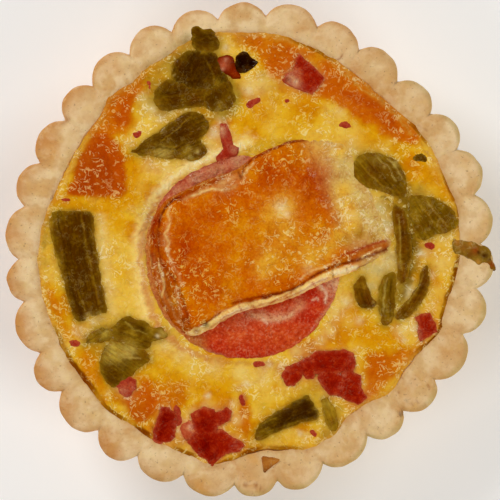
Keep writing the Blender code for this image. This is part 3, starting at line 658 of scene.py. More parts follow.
# Areas with an edge that can be seen: colour, softness in pixels, strength, outline
CUSTARD_AREAS = [
    ("gold", 5, 0.85, [(122, 148), (136, 156), (142, 176), (140, 196), (130, 208), (104, 218),
        (60, 212), (58, 200), (116, 198)]),
    ("orange", 4, 0.9, [(74, 136), (90, 112), (106, 94), (124, 78), (141, 70), (146, 84), (136, 96),
        (133, 112), (133, 126), (122, 134), (112, 140)]),
    ("rust", 3, 0.95, [(62, 197), (66, 182), (72, 168), (80, 152), (86, 138), (95, 131), (108, 132),
        (118, 144), (123, 160), (124, 178), (122, 193), (112, 198), (92, 197), (76, 199)]),
    ("deep", 5, 0.75, [(70, 190), (78, 166), (86, 150), (96, 142), (108, 158), (114, 176), (116, 188),
        (98, 194)]),
    ("rust", 4, 0.7, [(112, 112), (118, 100), (128, 98), (132, 112), (128, 124), (118, 126)]),
    ("orange", 5, 0.85, [(226, 32), (250, 26), (284, 30), (304, 38), (322, 54), (300, 56), (296, 70),
        (284, 78), (270, 80), (260, 66), (256, 50), (238, 46)]),
    ("rust", 5, 0.5, [(268, 46), (288, 44), (296, 54), (290, 68), (276, 72), (268, 60)]),
    ("orange", 4, 0.95, [(316, 56), (334, 56), (358, 70), (384, 86), (406, 104), (424, 128), (424, 144),
        (406, 146), (388, 138), (372, 126), (356, 120), (344, 112), (330, 102), (314, 100), (308, 94),
        (320, 82)]),
    ("rust", 4, 0.75, [(352, 84), (366, 96), (384, 102), (394, 114), (402, 130), (392, 132), (376, 122),
        (364, 108), (350, 98), (340, 92)]),
    ("amber", 6, 0.7, [(404, 150), (424, 156), (440, 172), (448, 192), (440, 196), (424, 180),
        (408, 166)]),
    ("amber", 4, 0.8, [(44, 276), (52, 282), (60, 300), (66, 322), (76, 336), (66, 342), (54, 330),
        (44, 306)]),
    ("orange", 3, 0.5, [(46, 290), (54, 292), (58, 308), (52, 316), (46, 304)]),
    ("amber", 4, 0.8, [(76, 348), (88, 346), (98, 360), (102, 380), (120, 392), (126, 404), (112, 404),
        (96, 390), (84, 372), (74, 356)]),
    ("rust", 5, 0.9, [(118, 396), (132, 388), (150, 386), (158, 396), (156, 410), (150, 424),
        (140, 428), (128, 418)]),
    ("orange", 5, 0.75, [(130, 384), (160, 376), (184, 380), (190, 394), (186, 408), (162, 410),
        (146, 412)]),
    ("gold", 6, 0.7, [(186, 378), (220, 374), (232, 386), (226, 400), (198, 404), (186, 396)]),
    ("orange", 3, 0.8, [(238, 392), (250, 396), (250, 420), (248, 436), (238, 430), (236, 410)]),
    ("orange", 5, 0.85, [(362, 350), (382, 350), (404, 346), (428, 342), (420, 354), (402, 370),
        (386, 390), (368, 402), (350, 412), (344, 406), (362, 392), (364, 370)]),
    ("rust", 5, 0.35, [(368, 366), (386, 358), (394, 368), (380, 388), (366, 392)]),
    ("gold", 6, 0.8, [(356, 328), (380, 324), (402, 336), (396, 350), (368, 350), (352, 342)]),
    ("cream", 4, 0.85, [(96, 214), (104, 214), (106, 250), (114, 290), (118, 318), (106, 314),
        (100, 280), (94, 240)]),
]
# Soft dabs of colour; the white ones are painted highlights where the wet film catches the light
CUSTARD_DABS = [
    ("white", [(384, 228, 6, 0.6), (372, 216, 4, 0.5), (386, 262, 5, 0.5), (410, 292, 4, 0.7)]),
    ("sage", [(384, 270, 5, 0.7)]),
    ("amber", [(262, 112, 13, 0.6), (366, 334, 10, 0.5)]),
    ("gold", [(290, 120, 12, 0.5)]),
    ("olive", [(150, 80, 10, 0.7), (162, 58, 9, 0.7), (182, 46, 8, 0.8), (236, 90, 8, 0.7),
        (228, 108, 8, 0.7)]),
    ("sage", [(150, 106, 8, 0.7), (142, 96, 6, 0.6), (162, 114, 7, 0.6), (186, 112, 6, 0.8),
        (350, 148, 8, 0.7), (366, 198, 8, 0.8), (380, 208, 8, 0.9), (390, 224, 7, 0.8)]),
    ("olive", [(384, 199, 5, 0.5)]),
    ("pink", [(430, 250, 8, 0.6)]),
    ("white", [(424, 254, 3, 0.6)]),
    ("cream", [(442, 262, 9, 0.7)]),
    ("straw", [(436, 292, 9, 0.8), (118, 250, 16, 0.5)]),
    ("cream", [(434, 306, 6, 0.5), (444, 240, 7, 0.5)]),
    ("olive", [(411, 262, 6, 0.7), (413, 240, 6, 0.8), (404, 292, 5, 0.5), (168, 66, 8, 0.75),
        (176, 52, 7, 0.7)]),
    ("moss", [(412, 212, 5, 0.8)]),
    ("sage", [(392, 262, 6, 0.9)]),
    ("white", [(408, 292, 5, 0.8), (390, 276, 3, 0.6)]),
    ("sage", [(402, 284, 5, 0.8), (386, 250, 5, 0.8)]),
    ("cream", [(376, 268, 6, 0.6), (150, 165, 9, 0.6), (166, 170, 8, 0.8), (212, 152, 7, 0.9)]),
    ("yellow", [(122, 270, 14, 0.6)]),
    ("straw", [(120, 300, 14, 0.5)]),
    ("gold", [(112, 222, 10, 0.5), (258, 112, 14, 0.6), (310, 96, 9, 0.7)]),
    ("yellow", [(282, 120, 16, 0.6), (430, 190, 12, 0.6), (440, 250, 10, 0.6)]),
    ("amber", [(300, 108, 8, 0.4)]),
    ("gold", [(245, 128, 10, 0.5), (370, 138, 14, 0.7), (345, 146, 8, 0.4), (438, 200, 8, 0.5),
        (422, 176, 10, 0.5), (440, 300, 10, 0.5)]),
    ("amber", [(396, 146, 8, 0.5), (452, 196, 5, 0.6)]),
    ("tan", [(456, 225, 4, 0.5)]),
    ("yellow", [(430, 320, 8, 0.4)]),
    ("straw", [(446, 270, 6, 0.5), (140, 185, 8, 0.4)]),
    ("white", [(190, 164, 7, 0.6), (214, 132, 6, 0.85), (221, 118, 4, 0.7)]),
    ("cream", [(208, 142, 5, 0.7), (155, 110, 7, 0.7)]),
    ("sage", [(216, 112, 5, 0.5)]),
    ("ochre", [(140, 110, 8, 0.4), (158, 70, 8, 0.8)]),
    ("white", [(152, 108, 3, 0.6), (160, 118, 3, 0.7)]),
    ("straw", [(136, 132, 8, 0.6), (222, 42, 7, 0.8)]),
    ("cream", [(128, 142, 6, 0.5)]),
    ("olive", [(152, 84, 7, 0.6)]),
    ("moss", [(150, 98, 5, 0.5), (205, 56, 6, 0.6), (228, 96, 8, 0.8)]),
    ("olive", [(158, 110, 6, 0.5), (196, 44, 8, 0.8), (234, 98, 6, 0.7), (220, 112, 7, 0.7),
        (212, 116, 5, 0.6), (166, 108, 7, 0.6)]),
    ("ochre", [(230, 112, 6, 0.5)]),
    ("moss", [(208, 98, 6, 0.8)]),
    ("white", [(225, 46, 3, 0.8)]),
    ("cream", [(216, 50, 4, 0.6), (250, 84, 9, 0.8), (262, 80, 7, 0.7)]),
    ("tan", [(238, 40, 6, 0.5)]),
    ("white", [(248, 90, 4, 0.7)]),
    ("blush", [(262, 90, 6, 0.6)]),
    ("ochre", [(262, 74, 5, 0.4), (42, 240, 6, 0.8), (43, 262, 6, 0.6)]),
    ("pink", [(252, 99, 6, 0.6)]),
    ("tan", [(275, 86, 9, 0.5), (424, 342, 5, 0.6)]),
    ("straw", [(292, 96, 8, 0.4), (330, 110, 8, 0.9), (326, 134, 8, 0.5), (342, 128, 5, 0.5)]),
    ("blush", [(290, 72, 6, 0.5)]),
    ("cream", [(340, 112, 5, 0.6)]),
    ("white", [(333, 146, 4, 0.5)]),
    ("straw", [(344, 160, 9, 0.8)]),
    ("sage", [(348, 175, 8, 0.7)]),
    ("straw", [(340, 190, 9, 0.7)]),
    ("sage", [(356, 200, 9, 0.8)]),
    ("straw", [(352, 212, 8, 0.6)]),
    ("sage", [(376, 210, 9, 0.8)]),
    ("olive", [(390, 206, 6, 0.8)]),
    ("cream", [(368, 200, 5, 0.6)]),
    ("straw", [(358, 228, 9, 0.7)]),
    ("sage", [(386, 222, 8, 0.7)]),
    ("white", [(388, 230, 4, 0.9), (376, 226, 3, 0.6)]),
    ("olive", [(392, 240, 6, 0.6), (410, 195, 7, 0.9)]),
    ("moss", [(396, 214, 4, 0.7), (408, 186, 5, 0.7)]),
    ("sage", [(392, 258, 8, 0.9), (378, 270, 9, 0.9), (366, 268, 6, 0.7), (372, 286, 5, 0.9)]),
    ("cream", [(392, 262, 4, 0.6)]),
    ("olive", [(420, 188, 6, 0.7), (412, 222, 6, 0.9)]),
    ("moss", [(410, 240, 5, 0.9), (416, 205, 5, 0.8)]),
    ("olive", [(417, 250, 6, 0.8), (430, 236, 6, 0.6), (414, 268, 6, 0.8), (402, 286, 4, 0.8),
        (400, 318, 4, 0.6), (416, 310, 5, 0.5), (44, 222, 5, 0.6)]),
    ("white", [(409, 287, 4, 0.95), (407, 295, 3, 0.8)]),
    ("cream", [(412, 280, 3, 0.6), (345, 300, 8, 0.8)]),
    ("white", [(346, 302, 3, 0.6)]),
    ("cream", [(335, 312, 8, 0.7)]),
    ("straw", [(350, 322, 9, 0.5), (50, 276, 5, 0.4)]),
    ("cream", [(330, 330, 7, 0.6), (320, 340, 6, 0.6), (402, 330, 7, 0.9), (84, 334, 7, 0.8),
        (76, 330, 6, 0.6)]),
    ("white", [(360, 320, 4, 0.5), (405, 340, 3, 0.6), (415, 328, 4, 0.7)]),
    ("blush", [(310, 346, 5, 0.5)]),
    ("pink", [(418, 256, 4, 0.5)]),
    ("white", [(420, 252, 3, 0.9), (432, 275, 4, 0.4), (92, 322, 4, 0.6), (84, 318, 3, 0.8)]),
    ("pink", [(430, 246, 5, 0.5)]),
    ("blush", [(418, 262, 5, 0.6)]),
    ("rust", [(436, 334, 4, 0.5)]),
    ("amber", [(420, 346, 5, 0.6), (62, 204, 5, 0.4)]),
    ("pink", [(64, 200, 4, 0.4), (124, 388, 6, 0.7)]),
    ("sage", [(98, 318, 5, 0.7)]),
    ("ochre", [(94, 328, 5, 0.5)]),
    ("olive", [(92, 342, 7, 0.7), (102, 338, 6, 0.8)]),
    ("ochre", [(92, 352, 6, 0.5)]),
    ("moss", [(110, 338, 5, 0.6)]),
    ("cream", [(122, 342, 5, 0.8)]),
    ("white", [(128, 346, 3, 0.8)]),
    ("sage", [(134, 348, 6, 0.8), (158, 338, 5, 0.7), (110, 350, 6, 0.6)]),
    ("olive", [(140, 346, 5, 0.7)]),
    ("white", [(142, 352, 3, 0.6), (156, 330, 3, 0.7)]),
    ("cream", [(150, 342, 5, 0.5)]),
    ("straw", [(150, 352, 6, 0.4), (106, 394, 5, 0.5)]),
    ("olive", [(150, 360, 5, 0.6), (128, 366, 6, 0.5)]),
    ("yellow", [(170, 366, 12, 0.7)]),
    ("straw", [(196, 364, 10, 0.6)]),
    ("cream", [(180, 354, 8, 0.8), (164, 346, 7, 0.7), (215, 366, 8, 0.6)]),
    ("yellow", [(210, 382, 9, 0.5), (225, 372, 7, 0.6)]),
    ("cream", [(240, 372, 7, 0.7)]),
    ("white", [(246, 384, 4, 0.7)]),
    ("blush", [(238, 388, 5, 0.6)]),
    ("pink", [(243, 398, 4, 0.7)]),
    ("cream", [(262, 378, 8, 0.6), (296, 352, 7, 0.7), (234, 404, 5, 0.5), (192, 412, 4, 0.6),
        (236, 420, 6, 0.6)]),
    ("pink", [(262, 366, 6, 0.7)]),
    ("white", [(268, 364, 3, 0.8), (207, 396, 3, 0.8)]),
    ("crimson", [(257, 365, 3, 0.6)]),
    ("blush", [(280, 368, 6, 0.7)]),
    ("pink", [(270, 364, 4, 0.5), (178, 420, 6, 0.8)]),
    ("straw", [(210, 404, 6, 0.5)]),
    ("blush", [(190, 428, 7, 0.8)]),
    ("pink", [(184, 436, 6, 0.8)]),
    ("white", [(193, 430, 3, 0.9), (180, 430, 2.5, 0.7)]),
    ("yellow", [(228, 430, 6, 0.7), (275, 386, 8, 0.6)]),
    ("straw", [(238, 438, 6, 0.5)]),
    ("tan", [(178, 446, 6, 0.6), (166, 448, 5, 0.5), (192, 452, 5, 0.5)]),
    ("blush", [(220, 434, 5, 0.5), (302, 350, 5, 0.5)]),
    ("cream", [(204, 406, 4, 0.5)]),
    ("pink", [(236, 446, 4, 0.5)]),
    ("amber", [(276, 388, 4, 0.6)]),
    ("straw", [(290, 384, 8, 0.5), (264, 396, 8, 0.5), (256, 412, 6, 0.6), (290, 434, 8, 0.6)]),
    ("ochre", [(304, 390, 6, 0.6), (262, 408, 5, 0.4), (330, 398, 5, 0.7)]),
    ("olive", [(316, 386, 6, 0.5), (336, 424, 6, 0.9), (326, 436, 6, 0.8)]),
    ("ochre", [(340, 408, 5, 0.7), (275, 438, 6, 0.6)]),
    ("white", [(300, 434, 3, 0.9)]),
    ("cream", [(306, 436, 4, 0.7)]),
    ("pink", [(314, 433, 4, 0.6)]),
    ("straw", [(276, 442, 4, 0.6)]),
    ("olive", [(320, 444, 5, 0.5)]),
    ("ochre", [(262, 444, 5, 0.6), (250, 446, 5, 0.6), (316, 396, 3, 0.6)]),
    ("gold", [(290, 366, 4, 0.2)]),
]
CUSTARD_LINES = [
    ("moss", 5, 0.8, [(398, 192), (406, 200), (410, 220), (410, 250), (406, 280), (400, 300)]),
    ("olive", 6, 0.7, [(172, 56), (180, 66), (174, 84), (160, 96)]),
    ("olive", 5, 0.7, [(204, 52), (212, 48), (222, 60), (230, 78), (234, 100), (222, 114)]),
    ("olive", 5, 0.6, [(96, 332), (108, 340), (120, 340), (134, 348), (146, 350)]),
    ("cream", 6, 0.95, [(246, 140), (222, 152), (200, 160), (182, 168), (168, 180), (156, 194),
        (146, 212), (138, 236), (136, 262), (140, 290), (146, 316)]),
    ("white", 3, 0.5, [(240, 144), (214, 155), (190, 164), (172, 176), (158, 192)]),
    ("blush", 3.5, 0.8, [(160, 196), (150, 212), (142, 232), (139, 258), (144, 288), (152, 316),
        (166, 336), (184, 350), (204, 358)]),
    ("tan", 2.0, 0.6, [(186, 348), (200, 356), (224, 362), (250, 364), (272, 362)]),
    ("tan", 1.6, 0.8, [(148, 438), (160, 446), (178, 452), (196, 458)]),
    ("tan", 1.6, 0.8, [(424, 150), (434, 158), (442, 168), (448, 180), (454, 194)]),
    ("tan", 1.4, 0.7, [(228, 32), (250, 33), (270, 34), (290, 39)]),
    ("tan", 1.6, 0.6, [(330, 60), (345, 72), (360, 86), (380, 100), (398, 118), (412, 134)]),
    ("olive", 1.5, 0.5, [(44, 214), (42, 232), (42, 250)]),
    ("tan", 1.2, 0.5, [(62, 186), (74, 162), (86, 140), (98, 122)]),
    ("straw", 1.4, 0.7, [(56, 196), (62, 182), (70, 164)]),
    ("moss", 5.0, 0.6, [(402, 200), (410, 212), (415, 235), (415, 258), (408, 280)]),
    ("moss", 1.6, 0.8, [(382, 196), (390, 199), (397, 206), (399, 214)]),
    ("moss", 2.2, 0.8, [(406, 190), (410, 206), (414, 224), (414, 244), (408, 262)]),
    ("olive", 2.0, 0.7, [(402, 275), (400, 292), (396, 310)]),
    ("dark_brown", 1.0, 0.6, [(366, 308), (372, 306), (376, 302)]),
]
# Where the custard meets the case in a dark line, partly scorched custard and partly painted shade in
# the gap between them: direction and reach in degrees, strength, width
SCORCH_AND_GAP_SHADE = [
    (-156, 3, 0.6, 0.3 * MM), (-144, 8, 0.9, 0.55 * MM), (-130, 4.5, 0.75, 0.35 * MM),
    (-120.5, 3, 0.9, 0.6 * MM), (-107.5, 3.5, 0.7, 0.35 * MM), (-97, 2.5, 0.7, 0.35 * MM),
    (-90, 3.5, 0.8, 0.4 * MM), (-80, 5, 0.6, 0.3 * MM), (-23.5, 8, 0.85, 0.4 * MM),
    (-12, 4, 0.75, 0.35 * MM), (-5, 4, 0.9, 0.7 * MM), (10, 4.5, 0.6, 0.3 * MM), (18, 4, 0.6, 0.3 * MM),
    (35, 4, 0.6, 0.3 * MM), (73, 7, 0.6, 0.3 * MM),
]
# Outlines of what lies in the custard, and of the scraps baked onto it
TOPPING_OUTLINES = {
    "stalk_long_left": [(46, 211), (60, 209), (78, 210), (92, 211), (93, 232), (97, 262), (102, 292),
        (107, 313), (97, 314), (88, 317), (82, 323), (74, 322), (69, 310), (63, 286), (56, 262),
        (50, 240)],
    "stalk_wedge": [(127, 151), (140, 143), (152, 133), (165, 125), (178, 114), (190, 109), (201, 112),
        (208, 118), (209, 127), (203, 135), (199, 140), (205, 146), (207, 152), (200, 158), (190, 161),
        (182, 157), (165, 158), (150, 156), (138, 155)],
    "stalk_top_small": [(188, 28), (197, 22), (204, 28), (213, 27), (218, 36), (222, 44), (216, 50),
        (206, 54), (196, 52), (190, 42)],
    "stalk_top_dark": [(178, 54), (190, 48), (204, 47), (216, 52), (220, 62), (226, 73), (228, 82),
        (214, 88), (198, 90), (182, 88), (172, 80), (170, 66)],
    "stalk_top_middle": [(154, 88), (163, 78), (176, 78), (190, 84), (204, 88), (207, 98), (203, 106),
        (190, 106), (176, 108), (164, 110), (156, 106), (151, 97)],
    "stalk_top_right": [(200, 86), (212, 80), (226, 76), (233, 86), (235, 98), (231, 108), (222, 112),
        (210, 110), (202, 104)],
    "stalk_flake_left": [(104, 334), (115, 321), (126, 315), (136, 320), (146, 321), (151, 329),
        (160, 326), (168, 334), (163, 341), (152, 342), (147, 350), (136, 348), (124, 344), (112, 341)],
    "stalk_stub_left": [(80, 346), (85, 337), (91, 330), (102, 325), (112, 329), (112, 338), (102, 345),
        (90, 344)],
    "stalk_block_left": [(99, 352), (103, 343), (114, 340), (130, 345), (143, 350), (151, 357),
        (143, 367), (132, 375), (123, 383), (113, 389), (104, 382), (99, 371), (98, 360)],
    "stalk_oval_right": [(358, 153), (368, 150), (378, 152), (390, 155), (399, 162), (405, 174),
        (408, 188), (406, 199), (397, 197), (387, 192), (375, 188), (364, 187), (357, 181), (353, 172),
        (354, 160)],
    "stalk_outer_right": [(408, 192), (420, 193), (434, 197), (447, 203), (457, 211), (460, 221),
        (457, 230), (446, 234), (436, 234), (426, 240), (417, 238), (411, 224)],
    "stalk_strip_right": [(393, 206), (400, 203), (406, 212), (410, 228), (412, 246), (412, 264),
        (408, 280), (401, 286), (397, 276), (398, 258), (396, 240), (393, 222)],
    "stalk_strip_low": [(378, 290), (383, 277), (391, 270), (397, 274), (396, 292), (395, 312),
        (391, 326), (383, 328), (379, 312)],
    "stalk_stub_low": [(355, 283), (359, 274), (366, 275), (368, 287), (372, 297), (378, 303),
        (374, 309), (364, 310), (356, 303), (353, 292)],
    "stalk_curved": [(422, 267), (430, 265), (431, 280), (426, 295), (418, 308), (408, 319), (398, 321),
        (394, 314), (404, 304), (413, 292), (419, 279)],
    "stalk_bottom": [(253, 438), (256, 428), (270, 416), (290, 404), (308, 394), (313, 402), (321, 419),
        (304, 423), (284, 429), (266, 438), (256, 442)],
    "stalk_bottom_pale": [(321, 398), (327, 396), (333, 404), (338, 415), (342, 427), (336, 436),
        (329, 431), (324, 419), (322, 408)],
    "ham_01": [(296, 60), (299, 54), (308, 61), (316, 69), (323, 77), (319, 84), (311, 92), (303, 89),
        (294, 86), (284, 80), (286, 73), (294, 70)],
    "ham_02": [(416, 318), (422, 315), (430, 314), (434, 322), (438, 331), (430, 336), (421, 340),
        (418, 332), (420, 325)],
    "ham_03": [(282, 376), (286, 368), (296, 364), (304, 366), (301, 377), (294, 385), (287, 385)],
    "ham_04": [(297, 364), (306, 359), (315, 357), (317, 367), (313, 379), (304, 378)],
    "ham_05": [(311, 357), (317, 352), (330, 352), (343, 350), (353, 353), (355, 362), (352, 372),
        (339, 373), (326, 375), (314, 373)],
    "ham_06": [(320, 372), (334, 371), (344, 375), (344, 386), (339, 396), (330, 395), (324, 388),
        (318, 379)],
    "ham_07": [(341, 370), (352, 372), (361, 376), (361, 388), (367, 398), (358, 405), (347, 400),
        (338, 394), (341, 384)],
    "ham_08": [(115, 387), (121, 380), (128, 377), (134, 381), (134, 389), (127, 397), (119, 393)],
    "ham_09": [(161, 408), (168, 408), (174, 415), (176, 425), (174, 436), (168, 442), (159, 444),
        (151, 439), (154, 428), (157, 418)],
    "ham_10": [(180, 424), (190, 420), (199, 424), (200, 434), (196, 441), (186, 440), (180, 434)],
    "ham_11": [(191, 415), (203, 408), (214, 410), (220, 418), (216, 430), (209, 438), (197, 438),
        (193, 426)],
    "ham_12": [(214, 414), (221, 412), (226, 408), (230, 413), (228, 420), (220, 425), (213, 427),
        (210, 420)],
    "ham_13": [(193, 433), (208, 430), (222, 431), (234, 439), (243, 445), (238, 452), (226, 454),
        (219, 458), (212, 466), (204, 460), (195, 453), (188, 443)],
    "ham_14": [(220, 123), (225, 123), (230, 133), (232, 143), (239, 147), (236, 153), (227, 157),
        (217, 160), (216, 155), (222, 148), (220, 136)],
    "olive": [(237, 52), (245, 50), (251, 56), (260, 61), (252, 66), (246, 72), (238, 72), (233, 66),
        (234, 58)],
    "red_pepper": [(216, 56), (225, 53), (233, 56), (235, 66), (242, 76), (234, 78), (225, 72),
        (217, 69)],
}
TOMATO_OUTLINE = [
    (244, 153), (262, 155), (285, 162), (306, 174), (322, 188), (334, 206), (341, 226), (344, 248),
    (343, 268), (339, 288), (332, 306), (322, 322), (308, 338), (290, 350), (270, 358), (248, 361),
    (226, 359), (206, 353), (188, 343), (170, 328), (156, 308), (147, 286), (143, 262), (143, 240),
    (148, 222), (155, 206), (164, 193), (176, 181), (190, 171), (206, 164), (222, 158), (232, 153),
]
CRUMB_OUTLINES = {
    "ham": [
        [(244, 103), (250, 98), (258, 95), (260, 100), (252, 107), (247, 107)],
        [(283, 98), (288, 97), (290, 100), (285, 102)],
        [(337, 124), (343, 120), (350, 121), (351, 127), (345, 129)],
        [(145, 78), (150, 80), (151, 88), (147, 88), (144, 82)],
        [(131, 131), (139, 129), (141, 133), (136, 138), (132, 135)],
        [(58, 198), (66, 197), (70, 200), (62, 202)],
        [(423, 243), (430, 241), (437, 246), (434, 250), (426, 249)],
        [(67, 341), (73, 339), (80, 342), (78, 347), (70, 348)],
        [(174, 404), (180, 410), (181, 424), (176, 428), (172, 416)],
        [(238, 398), (242, 394), (246, 402), (244, 408), (239, 406)],
        [(308, 430), (315, 429), (319, 436), (313, 438)],
        [(280, 78), (287, 75), (290, 79), (284, 82)],
        [(250, 362), (262, 360), (266, 366), (254, 368)],
    ],
    "stalk": [
        [(413, 157), (419, 151), (426, 154), (430, 162), (422, 161), (415, 160)],
    ],
}
# How deep the custard is pressed in under the tomato slice and under a smaller topping
UNDER_SLICE = 2.6 * MM
UNDER_PIECE = 1.5 * MM


# The rise given to a level stretch of an outline, so that nothing is divided by zero
LEVEL_RISE = 1e-12


def depth_in(everywhere, outline, reach=3.5 * MM):
    """How far each point lies inside a closed outline, less than zero outside it."""
    near = np.all((everywhere > outline.min(axis=0) - reach)
                  & (everywhere < outline.max(axis=0) + reach), axis=1)
    points = everywhere[near]
    nearest = np.full(len(points), np.inf)
    inside = np.zeros(len(points), dtype=bool)
    for start, end in zip(outline, np.roll(outline, -1, axis=0)):
        nearest = np.minimum(nearest, from_stretch(points, start, end))
        along = end - start
        rise = along[1] if along[1] else LEVEL_RISE
        crossing = start[0] + along[0] * (points[:, 1] - start[1]) / rise
        crosses = (points[:, 1] < start[1]) != (points[:, 1] < end[1])
        inside ^= crosses & (points[:, 0] < crossing)
    depth = np.full(len(everywhere), -reach)
    depth[near] = np.where(inside, nearest, -nearest)
    return depth


def rounded(outline, times=2):
    """An outline with its corners cut, as soft food has none."""
    for _ in range(times):
        after = np.roll(outline, -1, axis=0)
        outline = np.stack([0.75 * outline + 0.25 * after, 0.25 * outline + 0.75 * after], axis=1)
        outline = outline.reshape(-1, 2)
    return outline


def near_edge(inside, width):
    """1 outside and at an edge, and less and less further in."""
    return np.exp(-np.maximum(inside, 0) / width)


def custard_top(x, y):
    """The height of the custard's skin, without its fine lumps."""
    height = CUSTARD_HEIGHT + CUSTARD_LUMPS * lumps(x, y, 9 * MM)
    height += 0.4 * CUSTARD_LUMPS * lumps(x, y, 3.5 * MM, 4.0)
    for (middle_x, middle_y), reach, rise in SWELLS:
        distance = math.hypot(x - middle_x * MM, y - middle_y * MM) / (reach * MM)
        height += rise * MM * math.exp(-distance ** 2)
    return height


def custard_heights(points):
    return np.array([custard_top(x, y) for x, y in points])


outlines = {name: rounded(seen(marks), 0 if name.startswith("ham") else 1)
            for name, marks in TOPPING_OUTLINES.items()}

bpy.ops.object.select_all(action="DESELECT")
bpy.ops.mesh.primitive_grid_add(x_subdivisions=CUSTARD_CELLS, y_subdivisions=CUSTARD_CELLS,
                                size=2)
custard = bpy.context.object
custard.name = "baked_custard"
spots = places(custard)
for spot in spots:
    x, y = spot[0], spot[1]
    disc_x, disc_y = x * math.sqrt(1 - y * y / 2), y * math.sqrt(1 - x * x / 2)
    wall = inner_wall(math.atan2(disc_y, disc_x), RIM_HEIGHT) + WALL_OVERLAP
    spot[0], spot[1] = disc_x * wall, disc_y * wall
points = spots[:, :2].copy()
warped = strayed(points)
heights = custard_heights(points)
heights += (0.16 * rough(points, 1.8 * MM, 6.0) + 0.07 * rough(points, 0.8 * MM, 2.0)) * MM

colours = one_colour(points, CUSTARD_TONES["yellow"])
drifting = rough(points, 7 * MM, 3.0) + 0.5 * rough(points, 3 * MM, 1.0)
colours = laid(colours, 0.75 * eased(drifting * 2.0), CUSTARD_TONES["gold"])
colours = laid(colours, 0.7 * eased(drifting * 2.6 - 0.4), CUSTARD_TONES["amber"])
colours = laid(colours, 0.6 * eased(-drifting * 2.0), CUSTARD_TONES["straw"])
wandered = strayed(points, 0.9 * MM, 3.2 * MM)
for name, softness, strength, outline in CUSTARD_AREAS:
    inside = depth_in(wandered, rounded(seen(outline))) / (2.6 * softness * PIXEL)
    colours = laid(colours, strength * eased(inside + 0.45), CUSTARD_TONES[name])
colours = dabbed(colours, warped, CUSTARD_DABS, CUSTARD_TONES)
sink = np.zeros(len(points))
for name, outline in outlines.items():
    inside = depth_in(warped, outline)
    sink = np.maximum(sink, UNDER_PIECE * eased((inside - 0.45 * MM) / (0.7 * MM)))
    halo = near_edge(-inside, 0.8 * MM)
    if name.startswith("stalk"):
        colours = laid(colours, 0.85 * halo, CUSTARD_TONES["olive"])
    elif name.startswith("ham"):
        colours = laid(colours, 0.6 * halo, CUSTARD_TONES["pink"])
colours = lined(colours, strayed(points, 0.8 * MM, 1.3 * MM), CUSTARD_LINES, CUSTARD_TONES)
slice_inside = depth_in(warped, rounded(seen(TOMATO_OUTLINE)))
sink = np.maximum(sink, UNDER_SLICE * eased((slice_inside - 0.5 * MM) / (1.1 * MM)))
angles = np.arctan2(points[:, 1], points[:, 0])
walls = np.array([inner_wall(angle, RIM_HEIGHT) for angle in angles])
from_wall = walls - np.hypot(points[:, 0], points[:, 1])
climb = eased((CLIMB_REACH - from_wall) / CLIMB_REACH)
colours = laid(colours, 0.6 * near_edge(from_wall, 0.8 * MM), CUSTARD_TONES["tan"])
ragged = 1 + 0.5 * rough(points, 1.0 * MM, 8.0)
# A dark line along the wall, partly scorching and partly painted shade in the gap between custard and
# case
for direction, reach, strength, width in SCORCH_AND_GAP_SHADE:
    there = np.exp(-(turned_by(angles, direction) / reach) ** 4)
    close = eased(1.6 - np.maximum(from_wall, 0) / (width * ragged))
    colours = laid(colours, strength * there * close, CUSTARD_TONES["dark_brown"])
spots[:, 2] = heights - sink + WALL_CLIMB * climb
at_wall = from_wall < 0.1 * MM
spots[at_wall, 2] = np.minimum(spots[at_wall, 2], HIGHEST_AT_WALL)
move_to(custard, spots)
# Browned egg is a purer orange than the pale egg round it
browned = eased((0.62 - colours[:, 1] / colours[:, 0]) / 0.2)
colours[:, 2] *= 1 - browned * (1 - eased(colours[:, 2] / 0.06))
colours[:, 1] *= 0.8 + 0.2 * eased(colours[:, 1] / 0.25)
tint(custard, colours)

only(custard)
bpy.ops.object.mode_set(mode="EDIT")
bpy.ops.mesh.select_all(action="DESELECT")
bpy.ops.mesh.select_mode(type="EDGE")
bpy.ops.mesh.select_non_manifold()
for drop, share in SIDE_STRETCHES:
    bpy.ops.mesh.extrude_region_move(TRANSFORM_OT_translate={"value": (0, 0, -drop)})
    bpy.ops.transform.resize(value=(share, share, 1), center_override=(0, 0, 0))
bpy.ops.mesh.edge_face_add()
bpy.ops.mesh.select_all(action="SELECT")
bpy.ops.mesh.normals_make_consistent(inside=False)
bpy.ops.object.mode_set(mode="OBJECT")
bpy.ops.object.shade_smooth()

# The oily skin that baking leaves: fine wrinkles with painted highlights along them, broken into
# short strokes, more of them in some places than in others
LINE_WIDTH = 0.075
# The butter-yellow towards which the painted highlights are mixed
BUTTER_SHINE = (1.0, 0.82, 0.42, 1.0)
OIL_ROUGHNESS = 0.09
skin, entry, leave = new_effect(
    "oily_glints", {"Wrinkle Scale": "Float", "Line Width": "Float"},
    {"Glints": "Float", "Height": "Float"})
folds = noisy(skin, entry.outputs["Wrinkle Scale"], 1.0, 1.4, 0.4)
ridge = maths(skin, "ABSOLUTE", maths(skin, "SUBTRACT", folds, 0.5))
line = wire(skin, "ShaderNodeMapRange", {
    "Value": ridge, "From Min": 0.0, "From Max": entry.outputs["Line Width"],
    "To Min": 1.0, "To Max": 0.0}).outputs["Result"]
broken = stretched(skin, noisy(
    skin, maths(skin, "MULTIPLY", entry.outputs["Wrinkle Scale"], 0.75), 1, 0.8), 0.47, 0.54)
in_places = stretched(skin, noisy(
    skin, maths(skin, "MULTIPLY", entry.outputs["Wrinkle Scale"], 0.15), 2), 0.43, 0.57, 0.25)
strokes = maths(skin, "MULTIPLY", maths(skin, "MULTIPLY", line, broken), in_places)
skin.links.new(strokes, leave.inputs["Glints"])
skin.links.new(maths(skin, "ADD", folds, maths(skin, "MULTIPLY", strokes, 0.12)),
               leave.inputs["Height"])


